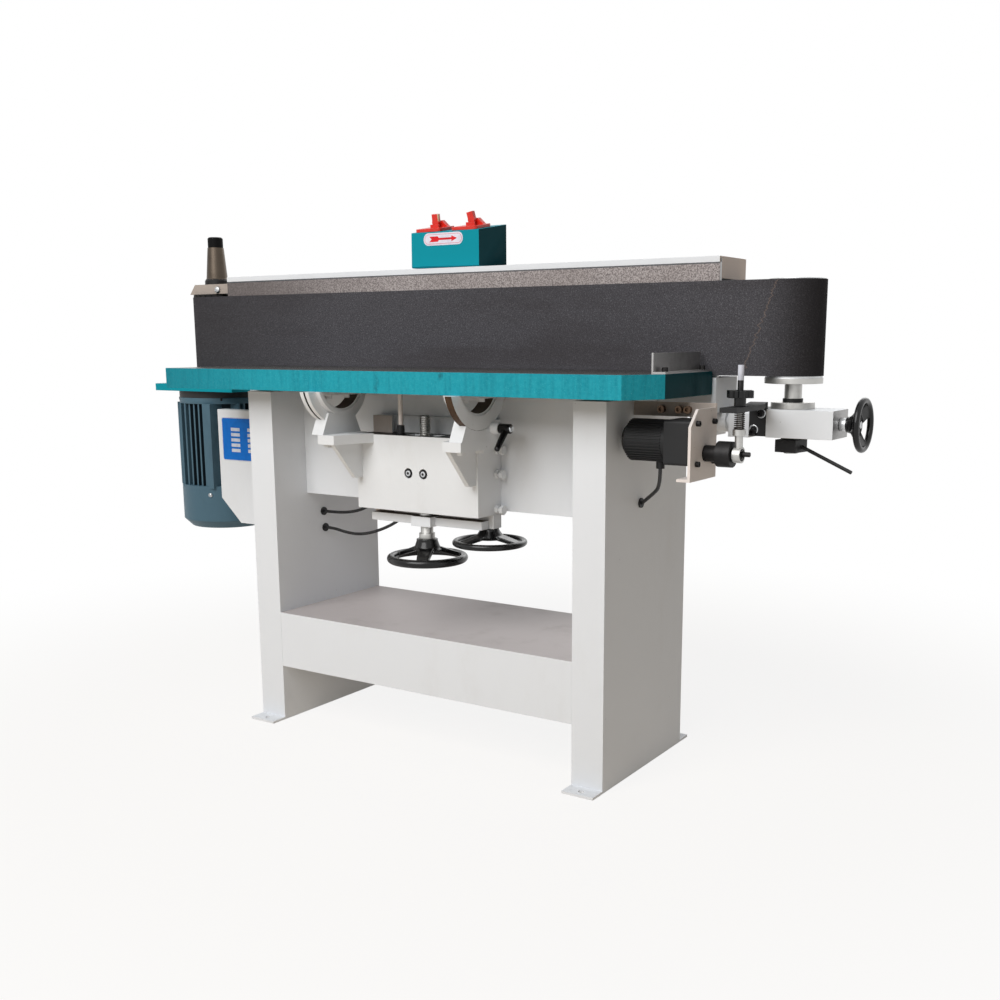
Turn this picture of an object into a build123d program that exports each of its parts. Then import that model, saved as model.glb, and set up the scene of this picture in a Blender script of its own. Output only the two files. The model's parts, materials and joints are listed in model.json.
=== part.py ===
from build123d import *
import math
import os

# Stand: two sheet-steel legs on foot plates, a folded shelf and a fascia panel between them
stand_length = 1040.0
stand_depth = 400.0
leg_width = 80.0
sheet = 4.0
fold_lip = 30.0
foot_thickness = 6.0
foot_tab = 44.0
anchor_hole_radius = 7.0
anchor_inset = 20.0
kick_bottom = 147.0
shelf_top = 292.0
shelf_back_inset = 7.0
fascia_setback = 116.0
fascia_bottom = 593.0
deck_thickness = 6.0

# Table casting, and the clearances that place the stand under it
table_top = 920.0
table_length = 1379.0
table_depth = 318.0
table_thickness = 50.0
table_center_x = -36.5
table_skin = 12.0
table_skirt = 14.0
table_rib = 10.0
table_rib_count = 7
table_corner_x = 54.0
table_corner_y = 85.0
table_belt_gap = 4.0
leg_clearance = 8.0

# Belt and the two drums that it runs round
belt_width = 200.0
belt_thickness = 1.7
belt_clearance = 0.3
belt_face_y = 37.0
belt_drop = 9.0
tyre_radius = 69.0
idler_radius = 60.0
drive_reach = 183.0
idler_reach = 152.0

# Beam, platen and hood
beam_height = 76.0
beam_depth = 118.0
beam_wall = 5.0
beam_setback = 1.0
beam_belt_gap = 5.0
beam_left_reach = 240.0
beam_right_reach = 140.0
beam_slot_inset = 100.0
beam_slot_half = 29.5
beam_notch_gap = 4.0
post_inset = 70.0
post_width = 90.0
post_depth = 68.0
pad_thickness = 3.0
pad_margin = 1.0
platen_thickness = 10.0
platen_rise = 39.0
platen_left_gap = 42.0
hood_rise = 13.0
hood_sheet = 4.0
hood_belt_gap = 5.0
hood_back_gap = 7.0

# Drive motor, hung under a bracket plate at the left end of the beam
shaft_radius = 19.0
running_clearance = 0.05
free_clearance = 0.3
motor_plate_drop = 40.0
motor_plate_thickness = 20.0
motor_plate_left = 132.0
motor_plate_half = 138.0
motor_flange_radius = 125.0
motor_flange_thickness = 20.0
motor_hub_radius = 104.0
motor_hub_height = 14.0
motor_spigot_radius = 90.0
motor_spigot_height = 6.0
motor_bolt_circle = 116.0
motor_bolt_radius = 6.0
motor_bolt_count = 4
motor_bolt_angle = 45.0
motor_frame_radius = 103.0
motor_frame_length = 252.0
motor_end_wall = 18.0
motor_fin_reach = 120.0
motor_fin_width = 6.0
motor_fin_pitch = 19.0
motor_fin_start = -55.0
motor_fin_count = 5
motor_fin_inset = 12.0
motor_shield_height = 2.0
motor_pad_start = 39.0
motor_pad_width = 32.0
motor_sides = 4
motor_bearing_radius = 30.0
stator_radius = 62.5
rotor_radius = 62.0
rotor_end_gap = 20.0
fan_cover_radius = 131.0
fan_cover_length = 113.0
fan_cover_chamfer = 22.0
fan_cover_wall = 3.0
fan_hole_radius = 8.0
fan_hole_circle = 60.0
fan_hole_count = 12
fan_radius = 85.0
fan_thickness = 6.0
fan_blade_height = 24.0
fan_blade_count = 8
fan_floor_gap = 40.0

# Sheet guard beside the motor, with its blank plate
guard_reach = 280.0
guard_setback = 34.0
guard_sheet = 6.0
guard_drop = 30.0
guard_height = 316.0
guard_cut_x = 72.0
guard_cut_z = 67.0
data_plate_width = 124.0
data_plate_height = 120.0
data_plate_inset_x = 16.0
data_plate_inset_z = 21.0
sign_thickness = 1.5

# Drive drum, its top bearing and the sanding spindle above it
tyre_thickness = 7.95
drum_below_belt = 6.0
drum_above_belt = 7.0
drum_hub_radius = 35.0
drum_rim = 8.0
drum_web = 14.0
tyre_groove_count = 24
tyre_groove_depth = 4.0
tyre_groove_width = 4.0
tyre_groove_length = 34.0
tyre_groove_angle = 30.0
bearing_bracket_gap = 1.5
bearing_bracket_height = 27.5
bearing_bracket_half = 46.0
bearing_bracket_left = 67.0
bearing_bracket_slope = 22.0
spindle_gap = 0.5
spindle_bore = 15.0
spindle_flange_radius = 35.0
spindle_flange_height = 11.0
spindle_shoulder = 7.0
spindle_base_radius = 30.0
spindle_tip_radius = 23.0
spindle_length = 104.5
spindle_cap_radius = 21.5
spindle_cap_height = 29.0
spindle_cap_chamfer = 3.5

# Switch box on the hood, with a sloping lid and two paddle switches
switch_box_x = -82.5
switch_box_width = 207.0
switch_box_depth = 122.0
switch_box_setback = 21.0
switch_box_front_height = 86.0
switch_box_rear_height = 106.0
switch_box_wall = 2.0
switch_box_floor = 3.0
switch_foot_height = 3.0
switch_foot_width = 30.0
switch_foot_inset = 10.0
switch_spacing = 110.0
switch_center_shift = 1.0
switch_setback = 36.0
switch_base_width = 77.0
switch_base_depth = 70.0
switch_base_height = 8.0
switch_base_round = 9.0
switch_cheek_half = 13.0
switch_cheek_thickness = 5.0
switch_cheek_height = 16.0
switch_web_thickness = 12.0
switch_web_height = 24.0
switch_web_reach = 24.0
switch_lever_width = 18.0
switch_lever_thickness = 12.0
switch_lever_height = 20.0
switch_lever_shift = 6.0
switch_right_lean = -10.0
switch_pivot_height = 20.5
switch_hub_radius = 10.0
arrow_plate_length = 120.0
arrow_plate_height = 30.0
arrow_plate_drop = 18.0
arrow_plate_shift = -3.5

# Idler arm, which tilts about a shaft under the right end of the beam
arm_drop = 19.0
pivot_housing_inset = 70.0
pivot_housing_length = 54.0
pivot_housing_depth = 78.0
pivot_housing_height = 52.0
pivot_boss_radius = 25.5
pivot_boss_length = 24.0
arm_shaft_radius = 15.0
arm_block_gap = 18.0
arm_block_length = 48.0
arm_block_below = 32.0
arm_block_above = 20.0
clamp_block_length = 38.0
clamp_block_below = 28.0
lever_seat_height = 5.0
clamp_bolt_inset_x = 11.0
clamp_bolt_inset_z = 14.0
clamp_bolt_low_inset_z = 9.0
clamp_bolt_radius = 4.5
clamp_bolt_length = 50.0
arm_depth = 100.0
arm_height = 60.0
arm_length = 146.0
arm_wall = 8.0
arm_slot_length = 69.0
arm_slot_inset = 9.0
lever_thickness = 10.0
lever_tip_width = 36.0
lever_tip_reach = 60.0
lever_neck = 85.0
lever_seat_depth = 9.0

# Idler post, drum and the screws that tension and clamp them
stem_radius = 15.0
stem_below = 36.0
post_flange_radius = 46.5
post_flange_height = 13.7
post_ring_radius = 21.5
post_ring_height = 8.0
post_radius = 18.5
post_height = 29.0
spindle_radius = 17.5
spindle_top_drop = 26.0
spindle_nut_radius = 24.0
spindle_nut_height = 14.0
idler_flange_radius = 61.5
idler_flange_height = 9.0
idler_flange_gap = 3.0
idler_above_belt = 2.0
idler_shell = 8.0
idler_web = 18.0
idler_bearing_radius = 36.0
idler_bearing_width = 18.0
idler_bearing_drop = 49.0
tension_screw_radius = 8.0
tension_screw_length = 147.0
tension_bush_radius = 14.0
tension_bush_length = 14.0
tension_hub_radius = 14.0
tension_hub_length = 28.0
tension_rim_radius = 51.0
tension_rim_tube = 7.0
tension_rim_reach = 6.0
clamp_nut_size = 50.0
clamp_nut_height = 27.0
clamp_nut_turn = -10.0
clamp_washer_radius = 22.0
clamp_nut_gap = 6.0
clamp_rod_radius = 4.0
clamp_rod_reach = 143.0
clamp_rod_drop = 48.0
clamp_rod_back = -29.0

# Tracking drive: a gear motor, crank and push rod rock the idler arm
osc_bracket_thickness = 6.0
osc_bracket_front = 73.0
osc_bracket_back = 55.0
osc_bracket_below = 53.7
osc_bracket_above = 91.3
osc_bracket_corner = 34.0
osc_lip = 24.0
osc_flange_height = 30.0
osc_flange_drop = 8.0
osc_screw_radius = 5.0
osc_flange_screw_shares = (0.37, 0.59, 0.7)
gear_screw_inset = 5.0
gear_screw_radius = 3.6
gearbox_length = 65.0
gearbox_size = 92.0
gearbox_shift_y = -5.0
gearbox_shift_z = 22.3
gearbox_round = 6.0
gear_motor_length = 105.0
gear_motor_radius = 42.0
gear_motor_rib_radius = 44.5
gear_motor_rib_width = 3.0
gear_motor_rib_count = 40
gear_motor_band = 10.0
gear_motor_nose = 12.0
output_shaft_radius = 7.5
output_shaft_depth = 25.0
crank_hub_radius = 17.0
crank_hub_length = 27.0
crank_gap = 2.0
crank_disc_radius = 26.5
crank_disc_length = 32.0
crank_pin_radius = 5.0
crank_pin_length = 36.0
crank_throw = 1.5
rod_x_offset = 29.0
rod_y_offset = 224.0
rod_drop = 52.3
rod_end_radius = 16.5
rod_end_bore = 9.5
rod_end_width = 16.0
rod_shank_radius = 8.25
rod_collar_radius = 13.0
rod_collar_height = 12.0
rod_radius = 6.0
rod_above_lever = 82.0
spring_space = 36.0
spring_outer_radius = 11.0
spring_wire = 2.4
spring_turns = 8
spring_end_gap = 0.3
spring_samples = 800
spring_sample_skip = 60
knob_hub_radius = 12.0
knob_hub_height = 16.7
knob_radius = 21.0
knob_lobe_radius = 7.3
knob_lobe_count = 6
knob_height = 15.0

# Knee: dovetail slideway on the fascia, saddle, brackets and tilt cradles
pivot_back = 245.0
pivot_drop = 20.0
slideway_half = 178.0
slideway_bottom = 553.0
slideway_top = 808.0
slideway_plate = 7.0
slideway_bar = 26.0
tongue_half = 118.0
tongue_taper = 15.0
tongue_side_gap = 0.5
tongue_back_gap = 1.0
saddle_half = 179.0
saddle_depth = 62.0
saddle_height = 180.0
saddle_step = 2.0
pocket_half_x = 45.0
pocket_half_y = 19.0
saddle_screw_x = 22.0
saddle_screw_drop = 88.0
saddle_screw_radius = 6.0
saddle_counterbore = 12.0
saddle_counterbore_depth = 8.0
bracket_drop = 131.0
bracket_thickness = 22.0
bracket_inner = 158.0
bracket_root = 125.0
bracket_outer = 208.0
bracket_left_outer = 208.0
bracket_reach_front = 73.0
bracket_reach_back = 71.0
gusset_inner = 162.0
gusset_thickness = 12.0
gusset_height = 85.0
gusset_foot = 26.0
gusset_tip = 5.0
bracket_bolt_inset = 14.0
bracket_bolt_spacing = 70.0
bracket_bolt_front = 22.0
bracket_bolt_count = 2
bracket_bolt_radius = 6.0
cradle_width = 35.0
cradle_right_x = 173.0
cradle_left_x = -231.0
cradle_half = 68.5
cradle_lean = 24.0
cradle_height = 51.0
trunnion_radius = 86.0
trunnion_flange_radius = 109.0
trunnion_flange_right = 18.0
trunnion_flange_left = 27.0
trunnion_inner_reach = 5.0
trunnion_side_gap = 0.5
trunnion_bore_radius = 71.5
trunnion_lip_radius = 77.0
trunnion_lip_depth = 3.0
trunnion_plate = 10.0
trunnion_bolt_radius = 6.0
trunnion_bolt_spread = 32.0
trunnion_bolt_grip = 30.0
trunnion_groove_width = 5.0
trunnion_groove_depth = 4.0
tilt_boss_back = 52.0
tilt_boss_drop = 107.0
tilt_boss_radius = 13.0
tilt_boss_length = 19.0
tilt_stud_radius = 6.0
tilt_hub_radius = 11.0
tilt_hub_length = 28.0
tilt_handle_length = 56.0
tilt_handle_radius = 8.0
tilt_handle_end_radius = 6.5
tilt_handle_lean = 42.0
stop_rod_x = -65.0
stop_rod_back = 62.0
stop_rod_radius = 5.5
stop_sleeve_radius = 9.0
stop_sleeve_height = 22.0
stop_boss_radius = 16.0
gib_screw_radius = 6.0
gib_nut_radius = 10.5
gib_nut_length = 8.0
gib_screw_reach = 14.0
gib_screw_drops = (70.0, 127.0, 210.0)
gib_screw_depth = 14.0

# Lift screw with its bearer and handwheel, and the wheel that locks the slide
lift_screw_radius = 13.5
lift_screw_forward = 23.0
lift_screw_top = 814.0
lift_nut_height = 50.0
lift_nut_rise = 68.0
bearer_half = 165.0
bearer_depth = 30.0
bearer_thickness = 20.0
bearer_boss_half = 29.0
bearer_boss_depth = 48.0
bearer_boss_below = 2.0
bearer_boss_above = 2.0
thrust_collar_radius = 17.0
thrust_collar_height = 7.0
lift_sleeve_radius = 15.0
lift_sleeve_length = 17.7
lift_collar_length = 14.0
lift_collar_radius = 19.0
lift_hub_radius = 28.5
lift_hub_length = 24.0
lift_rim_radius = 88.0
lift_rim_tube = 10.0
lift_rim_drop = 23.0
wheel_spoke_count = 3
spoke_radius = 7.0
spoke_start_angle = 30.0
spoke_height_share = 0.33
spoke_rim_margin = 1.0
lock_inset = 20.0
lock_stud_radius = 8.0
lock_stud_depth = 27.0
lock_hub_radius = 26.0
lock_hub_length = 21.5
lock_rim_radius = 81.5
lock_rim_tube = 7.5
lock_rim_drop = 12.0
lock_gap = 0.5

# Stop angle at the right end of the table
angle_leg_width = 31.0
angle_leg_height = 42.0
angle_thickness = 4.0
angle_length = 228.0
angle_back_inset = 5.0
angle_screw_inset = 30.0
angle_screw_back_inset = 15.0
angle_screw_radius = 4.0

# Screw heads
screw_clearance = 0.2
socket_head_ratio = 1.6
socket_head_height = 1.1
socket_depth = 0.6
hex_head_ratio = 1.9
hex_head_height = 1.3

# Control box behind the fascia, and the leads with their grommets
control_box_gap = 150.0
control_box_width = 230.0
control_box_depth = 90.0
control_box_drop = 30.0
control_box_height = 150.0
control_box_wall = 3.0
lead_radius = 4.0
lead_arc_share = 0.45
gland_radius = 9.0
grommet_radius = 8.0
grommet_lip = 11.0
grommet_thickness = 4.0

# Routes of the leads: the first two from the left leg's inner face, fascia front and control box floor,
# the third from its gland under the gear motor
motor_lead_steps = [
    (4.0, 61.0, -113.0), (32.0, 61.0, -113.0), (72.0, 60.0, -111.5), (114.0, 57.0, -105.0),
    (151.0, 52.0, -94.0), (183.0, 47.5, -76.0), (201.5, 44.5, -45.0), (201.5, 44.5, -18.0),
]
control_lead_steps = [
    (4.0, 65.0, -157.5), (32.0, 65.0, -157.5), (74.0, 63.0, -164.5), (118.0, 59.0, -166.0),
    (162.0, 56.0, -159.0), (202.0, 53.0, -146.5), (240.0, 50.0, -131.0), (278.0, 47.0, -110.0),
    (310.0, 45.0, -81.0), (330.0, 44.0, -46.0), (330.0, 44.0, -18.0),
]
gear_lead_steps = [
    (0.0, 0.0, 0.0), (0.0, 0.0, -18.2), (-5.5, 5.8, -37.0), (-15.7, 16.5, -51.2), (-88.0, 92.0, -90.7),
]
gear_lead_overrun = 8.0
gear_gland_inset = 28.0
gear_gland_drop = 59.0

# Places worked out from the sizes above
leg_outer = stand_length / 2
leg_inner = leg_outer - leg_width
stand_front = -stand_depth / 2
stand_back = stand_depth / 2
leg_center = leg_outer - leg_width / 2
anchor_y = stand_back + foot_tab - anchor_inset
table_bottom = table_top - table_thickness
leg_top = table_bottom - leg_clearance
belt_bottom = table_top - belt_drop
belt_top = belt_bottom + belt_width
beam_top = belt_bottom - beam_belt_gap
beam_bottom = beam_top - beam_height
beam_front = belt_face_y + beam_setback
beam_back = beam_front + beam_depth
beam_left = -leg_outer - beam_left_reach
beam_right = leg_outer + beam_right_reach
beam_notch = beam_front - beam_notch_gap
belt_offset = belt_clearance + belt_thickness
pad_front = belt_face_y + belt_offset
platen_front = pad_front + pad_thickness
platen_back = platen_front + platen_thickness
platen_top = belt_top + platen_rise
drive_x = beam_left - drive_reach
drive_y = belt_face_y + belt_offset + tyre_radius
idler_x = beam_right + idler_reach
idler_y = belt_face_y + belt_offset + idler_radius
platen_left = drive_x + tyre_radius + belt_offset + platen_left_gap
platen_right = beam_right
hood_top = platen_top + hood_rise
hood_back = drive_y + tyre_radius + belt_offset + hood_back_gap
hood_skirt_bottom = belt_top + hood_belt_gap
fascia_front = stand_front + fascia_setback
table_left = table_center_x - table_length / 2
table_right = table_center_x + table_length / 2
table_back = belt_face_y - table_belt_gap
table_front = table_back - table_depth
tilt_y = table_back - pivot_back
tilt_z = table_top - pivot_drop
bracket_top = tilt_z - bracket_drop
bracket_bottom = bracket_top - bracket_thickness
saddle_top = bracket_top - saddle_step
saddle_bottom = saddle_top - saddle_height
slideway_front = fascia_front - slideway_plate - slideway_bar
saddle_back = slideway_front - tongue_back_gap
saddle_front = saddle_back - saddle_depth
lift_y = slideway_front - lift_screw_forward
motor_plate_top = beam_top - motor_plate_drop
motor_plate_bottom = motor_plate_top - motor_plate_thickness
motor_flange_bottom = motor_plate_bottom - motor_flange_thickness
motor_frame_top = motor_flange_bottom - motor_hub_height
motor_frame_bottom = motor_frame_top - motor_frame_length
drum_bottom = belt_bottom - drum_below_belt
drum_top = belt_top + drum_above_belt
bearing_bracket_bottom = drum_top + bearing_bracket_gap
bearing_bracket_top = bearing_bracket_bottom + bearing_bracket_height
spindle_bottom = bearing_bracket_top + spindle_gap
arm_z = beam_bottom - arm_drop
arm_block_left = beam_right + pivot_boss_length - (pivot_housing_inset - pivot_housing_length) + arm_block_gap
clamp_block_left = arm_block_left + arm_block_length
arm_left = clamp_block_left + clamp_block_length
arm_right = arm_left + arm_length
arm_top = arm_z + arm_height / 2
arm_bottom = arm_z - arm_height / 2
lever_bottom = arm_top + lever_seat_height
lever_top = lever_bottom + lever_thickness
rod_x_place = idler_x - rod_x_offset
rod_y_place = idler_y - rod_y_offset
rod_z_place = arm_z - rod_drop
spring_bottom = lever_bottom - spring_space
osc_plate_right = arm_left - crank_disc_length - crank_hub_length - crank_gap
osc_plate_left = osc_plate_right - osc_bracket_thickness
gearbox_y = rod_y_place + gearbox_shift_y
gearbox_z = rod_z_place + gearbox_shift_z
gearbox_left = osc_plate_left - gearbox_length
control_left = -leg_inner + control_box_gap
control_right = control_left + control_box_width
control_top = beam_bottom - control_box_drop
control_bottom = control_top - control_box_height
lead_start = (-leg_inner, fascia_front, control_bottom)
gear_lead_start = (gearbox_left - gear_gland_inset, gearbox_y, gearbox_z - gear_gland_drop)


def route(start, steps):
    return [tuple(place + step for place, step in zip(start, point)) for point in steps]


motor_lead_points = route(lead_start, motor_lead_steps)
control_lead_points = route(lead_start, control_lead_steps)
gear_lead_points = route(gear_lead_start, gear_lead_steps)


# Shape helpers
def block(x0, x1, y0, y1, z0, z1):
    return Pos((x0 + x1) / 2, (y0 + y1) / 2, (z0 + z1) / 2) * Box(x1 - x0, y1 - y0, z1 - z0)


def rod_x(x0, x1, y, z, radius):
    return Pos((x0 + x1) / 2, y, z) * Rot(0, 90, 0) * Cylinder(radius, x1 - x0)


def rod_y(x, y0, y1, z, radius):
    return Pos(x, (y0 + y1) / 2, z) * Rot(90, 0, 0) * Cylinder(radius, y1 - y0)


def rod_z(x, y, z0, z1, radius):
    return Pos(x, y, (z0 + z1) / 2) * Cylinder(radius, z1 - z0)


def ring_z(x, y, z0, z1, outer, inner):
    return rod_z(x, y, z0, z1, outer) - rod_z(x, y, z0, z1, inner)


def plate_x(outline, x0, x1):
    return extrude(Plane.YZ.offset(x0) * Polygon(*outline, align=None), x1 - x0, dir=(1, 0, 0))


def plate_y(outline, y0, y1):
    return extrude(Plane.XZ.offset(-y0) * Polygon(*outline, align=None), y1 - y0, dir=(0, 1, 0))


def plate_z(outline, z0, z1):
    return extrude(Plane.XY.offset(z0) * Polygon(*outline, align=None), z1 - z0, dir=(0, 0, 1))


def rod_between(start, end, radius):
    reach = Vector(*end) - Vector(*start)
    along = Plane(origin=start, z_dir=reach)
    return along * Cylinder(radius, reach.length, align=(Align.CENTER, Align.CENTER, Align.MIN))


def turned(outline):
    return revolve(Plane.XZ * Polygon(*outline, align=None), Axis.Z)


def spots(count, radius, start=0.0):
    steps = [math.radians(start + 360.0 * index / count) for index in range(count)]
    return [(radius * math.cos(step), radius * math.sin(step)) for step in steps]


# A screw stands on its seat: the head points along the plane's normal, and the shank goes below it
def socket_screw(seat, shank_radius, shank_length):
    head_radius = shank_radius * socket_head_ratio
    head_height = shank_radius * 2 * socket_head_height
    low = (Align.CENTER, Align.CENTER, Align.MIN)
    high = (Align.CENTER, Align.CENTER, Align.MAX)
    body = Cylinder(head_radius, head_height, align=low) + Cylinder(shank_radius, shank_length, align=high)
    key = extrude(RegularPolygon(shank_radius, 6), head_height * socket_depth)
    return seat * (body - Pos(0, 0, head_height * (1 - socket_depth)) * key)


def hex_screw(seat, shank_radius, shank_length):
    head_height = shank_radius * hex_head_height
    head = extrude(RegularPolygon(shank_radius * hex_head_ratio, 6), head_height)
    shank = Cylinder(shank_radius, shank_length, align=(Align.CENTER, Align.CENTER, Align.MAX))
    return seat * (head + shank)


def screw_hole(seat, shank_radius, depth):
    bore = Cylinder(shank_radius + screw_clearance, depth, align=(Align.CENTER, Align.CENTER, Align.MAX))
    return seat * bore


# A dished handwheel about the Z axis: hub above z = 0, rim plane below it, spokes between
def handwheel(hub_radius, hub_length, rim_radius, rim_tube, rim_drop):
    wheel = Pos(0, 0, -rim_drop) * Torus(rim_radius, rim_tube)
    wheel += rod_z(0, 0, 0, hub_length, hub_radius)
    spoke_start_z = hub_length * spoke_height_share
    for x, y in spots(wheel_spoke_count, 1.0, spoke_start_angle):
        start = (x * hub_radius / 2, y * hub_radius / 2, spoke_start_z)
        end = (x * rim_radius, y * rim_radius, -rim_drop)
        wheel += rod_between(start, end, min(spoke_radius, rim_tube - spoke_rim_margin))
    return wheel


nodes = {}


# Legs: folded sheet boxes, open at the bottom, stepped down at the back to seat the beam
def make_leg(x0, x1):
    outer = [
        (stand_front, foot_thickness), (stand_back, foot_thickness), (stand_back, beam_bottom),
        (beam_notch, beam_bottom), (beam_notch, leg_top), (stand_front, leg_top),
    ]
    inner = [
        (stand_front + sheet, foot_thickness), (stand_back - sheet, foot_thickness),
        (stand_back - sheet, beam_bottom - sheet), (beam_notch - sheet, beam_bottom - sheet),
        (beam_notch - sheet, leg_top - sheet), (stand_front + sheet, leg_top - sheet),
    ]
    return plate_x(outer, x0, x1) - plate_x(inner, x0 + sheet, x1 - sheet)


def grommet_hole(wall_x, outward, y, z):
    inside = wall_x - outward * 2 * sheet
    return rod_x(min(inside, wall_x), max(inside, wall_x), y, z, grommet_radius)


def grommet(wall_x, outward, y, z):
    inside = wall_x - outward * sheet
    plug = rod_x(min(inside, wall_x), max(inside, wall_x), y, z, grommet_radius)
    lip_end = wall_x + outward * grommet_thickness
    return plug + rod_x(min(wall_x, lip_end), max(wall_x, lip_end), y, z, grommet_lip)


left_leg = make_leg(-leg_outer, -leg_inner)
right_leg = make_leg(leg_inner, leg_outer)
grommets = []
for lead in (motor_lead_points, control_lead_points):
    left_leg -= grommet_hole(-leg_inner, 1, lead[0][1], lead[0][2])
    grommets.append(grommet(-leg_inner, 1, lead[0][1], lead[0][2]))
right_leg -= grommet_hole(leg_outer, 1, gear_lead_points[-1][1], gear_lead_points[-1][2])
grommets.append(grommet(leg_outer, 1, gear_lead_points[-1][1], gear_lead_points[-1][2]))


# A foot plate is welded under each leg, with an anchor hole in each end
def make_foot(center):
    foot = block(center - leg_width / 2, center + leg_width / 2,
                 stand_front - foot_tab, stand_back + foot_tab, 0, foot_thickness)
    for end in (-1, 1):
        foot -= rod_z(center, end * anchor_y, 0, foot_thickness, anchor_hole_radius)
    return foot


nodes["left_leg"] = left_leg + make_foot(-leg_center)
nodes["right_leg"] = right_leg + make_foot(leg_center)

# Shelf and kick panel, folded from one sheet
shelf_back = stand_back - shelf_back_inset
shelf = block(-leg_inner, leg_inner, stand_front, stand_front + sheet, kick_bottom, shelf_top)
shelf += block(-leg_inner, leg_inner, stand_front, shelf_back, shelf_top - sheet, shelf_top)
shelf += block(-leg_inner, leg_inner, stand_front, stand_front + fold_lip, kick_bottom, kick_bottom + sheet)
shelf += block(-leg_inner, leg_inner, shelf_back - sheet, shelf_back, shelf_top - fold_lip, shelf_top)
nodes["shelf_panel"] = shelf

# Fascia with its bottom return, and the deck that carries the beam
fascia = block(-leg_inner, leg_inner, fascia_front, fascia_front + sheet, fascia_bottom, leg_top)
fascia += block(-leg_inner, leg_inner, fascia_front, fascia_front + fold_lip, fascia_bottom,
                fascia_bottom + sheet)
fascia += block(-leg_inner, leg_inner, fascia_front, beam_back, beam_bottom - deck_thickness, beam_bottom)
nodes["fascia_panel"] = fascia

# Beam: a box section with closed ends and a slot underneath, over the deck
beam = block(beam_left, beam_right, beam_front, beam_back, beam_bottom, beam_top)
beam -= block(beam_left + beam_wall, beam_right - beam_wall, beam_front + beam_wall, beam_back - beam_wall,
              beam_bottom + beam_wall, beam_top - beam_wall)
beam_middle = (beam_front + beam_back) / 2
beam -= block(-leg_inner + beam_slot_inset, leg_inner - beam_slot_inset, beam_middle - beam_slot_half,
              beam_middle + beam_slot_half, beam_bottom, beam_bottom + beam_wall)
nodes["top_beam"] = beam

# Platen: a plate on edge, welded to two posts inside the belt loop
post_x = leg_outer - post_inset
platen = block(platen_left, platen_right, platen_front, platen_back, beam_top, platen_top)
for side in (-1, 1):
    platen += block(side * post_x - post_width / 2, side * post_x + post_width / 2, platen_back,
                    platen_back + post_depth, beam_top, hood_top - hood_sheet)
nodes["platen_plate"] = platen
nodes["graphite_pad"] = block(platen_left, platen_right, pad_front, platen_front,
                              belt_bottom + pad_margin, platen_top)

# Hood: lid, front lip over the pad, rear skirt and two end plates above the belt
hood = block(platen_left, platen_right, pad_front, hood_back, hood_top - hood_sheet, hood_top)
hood += block(platen_left, platen_right, pad_front, pad_front + hood_sheet, platen_top, hood_top)
hood += block(platen_left, platen_right, hood_back - hood_sheet, hood_back, hood_skirt_bottom, hood_top)
for end_x in (platen_left, platen_right - hood_sheet):
    hood += block(end_x, end_x + hood_sheet, platen_back, hood_back, hood_skirt_bottom, hood_top)
nodes["belt_hood"] = hood


# Belt: an endless loop, tangent to both drums
def belt_outline(offset):
    idler_circle = Pos(idler_x, idler_y) * Circle(idler_radius + offset)
    drive_circle = Pos(drive_x, drive_y) * Circle(tyre_radius + offset)
    return make_hull(idler_circle.edges() + drive_circle.edges())


belt_section = belt_outline(belt_offset) - belt_outline(belt_clearance)
nodes["sanding_belt"] = extrude(Plane.XY.offset(belt_bottom) * belt_section, belt_width, dir=(0, 0, 1))

# Motor bracket plate, bored for the motor's spigot and bolts
motor_plate = block(drive_x - motor_plate_left, beam_left, drive_y - motor_plate_half,
                    drive_y + motor_plate_half,
                    motor_plate_bottom, motor_plate_top)
motor_plate -= rod_z(drive_x, drive_y, motor_plate_bottom, motor_plate_top,
                     motor_spigot_radius + running_clearance)
motor_flange = rod_z(drive_x, drive_y, motor_flange_bottom, motor_plate_bottom, motor_flange_radius)
motor_flange += rod_z(drive_x, drive_y, motor_frame_top, motor_flange_bottom, motor_hub_radius)
motor_flange += rod_z(drive_x, drive_y, motor_plate_bottom, motor_plate_bottom + motor_spigot_height,
                      motor_spigot_radius)
motor_flange -= rod_z(drive_x, drive_y, motor_frame_top, motor_plate_top, motor_bearing_radius)
stand_screws = []
bolt_grip = motor_flange_thickness + motor_plate_thickness
for x, y in spots(motor_bolt_count, motor_bolt_circle, motor_bolt_angle):
    seat = Plane(origin=(drive_x + x, drive_y + y, motor_flange_bottom), z_dir=(0, 0, -1))
    stand_screws.append(hex_screw(seat, motor_bolt_radius, bolt_grip))
    motor_plate -= screw_hole(seat, motor_bolt_radius, bolt_grip)
    motor_flange -= screw_hole(seat, motor_bolt_radius, bolt_grip)
nodes["motor_bracket"] = motor_plate
nodes["motor_flange"] = motor_flange

# Motor frame: each side has a group of parallel fins and a smooth pad, and the stator is bored for the rotor
motor_frame = rod_z(drive_x, drive_y, motor_frame_bottom, motor_frame_top, motor_frame_radius)
motor_frame += rod_z(drive_x, drive_y, motor_frame_bottom, motor_frame_bottom + motor_fin_inset,
                     fan_cover_radius)
fin_bottom = motor_frame_bottom + motor_fin_inset / 2
fin_top = motor_frame_top - motor_shield_height
fins = []
for side in range(motor_sides):
    place = Pos(drive_x, drive_y, 0) * Rot(0, 0, 360.0 * side / motor_sides)
    for index in range(motor_fin_count):
        fin_x = motor_fin_start + index * motor_fin_pitch
        fins.append(place * block(fin_x, fin_x + motor_fin_width, -motor_fin_reach, 0, fin_bottom, fin_top))
    fins.append(place * block(motor_pad_start, motor_pad_start + motor_pad_width, -motor_fin_reach, 0,
                              fin_bottom, fin_top))
motor_frame = motor_frame.fuse(*fins)
motor_frame -= rod_z(drive_x, drive_y, motor_frame_bottom + motor_end_wall, motor_frame_top, stator_radius)
motor_frame -= rod_z(drive_x, drive_y, motor_frame_bottom, motor_frame_top, motor_bearing_radius)

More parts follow.
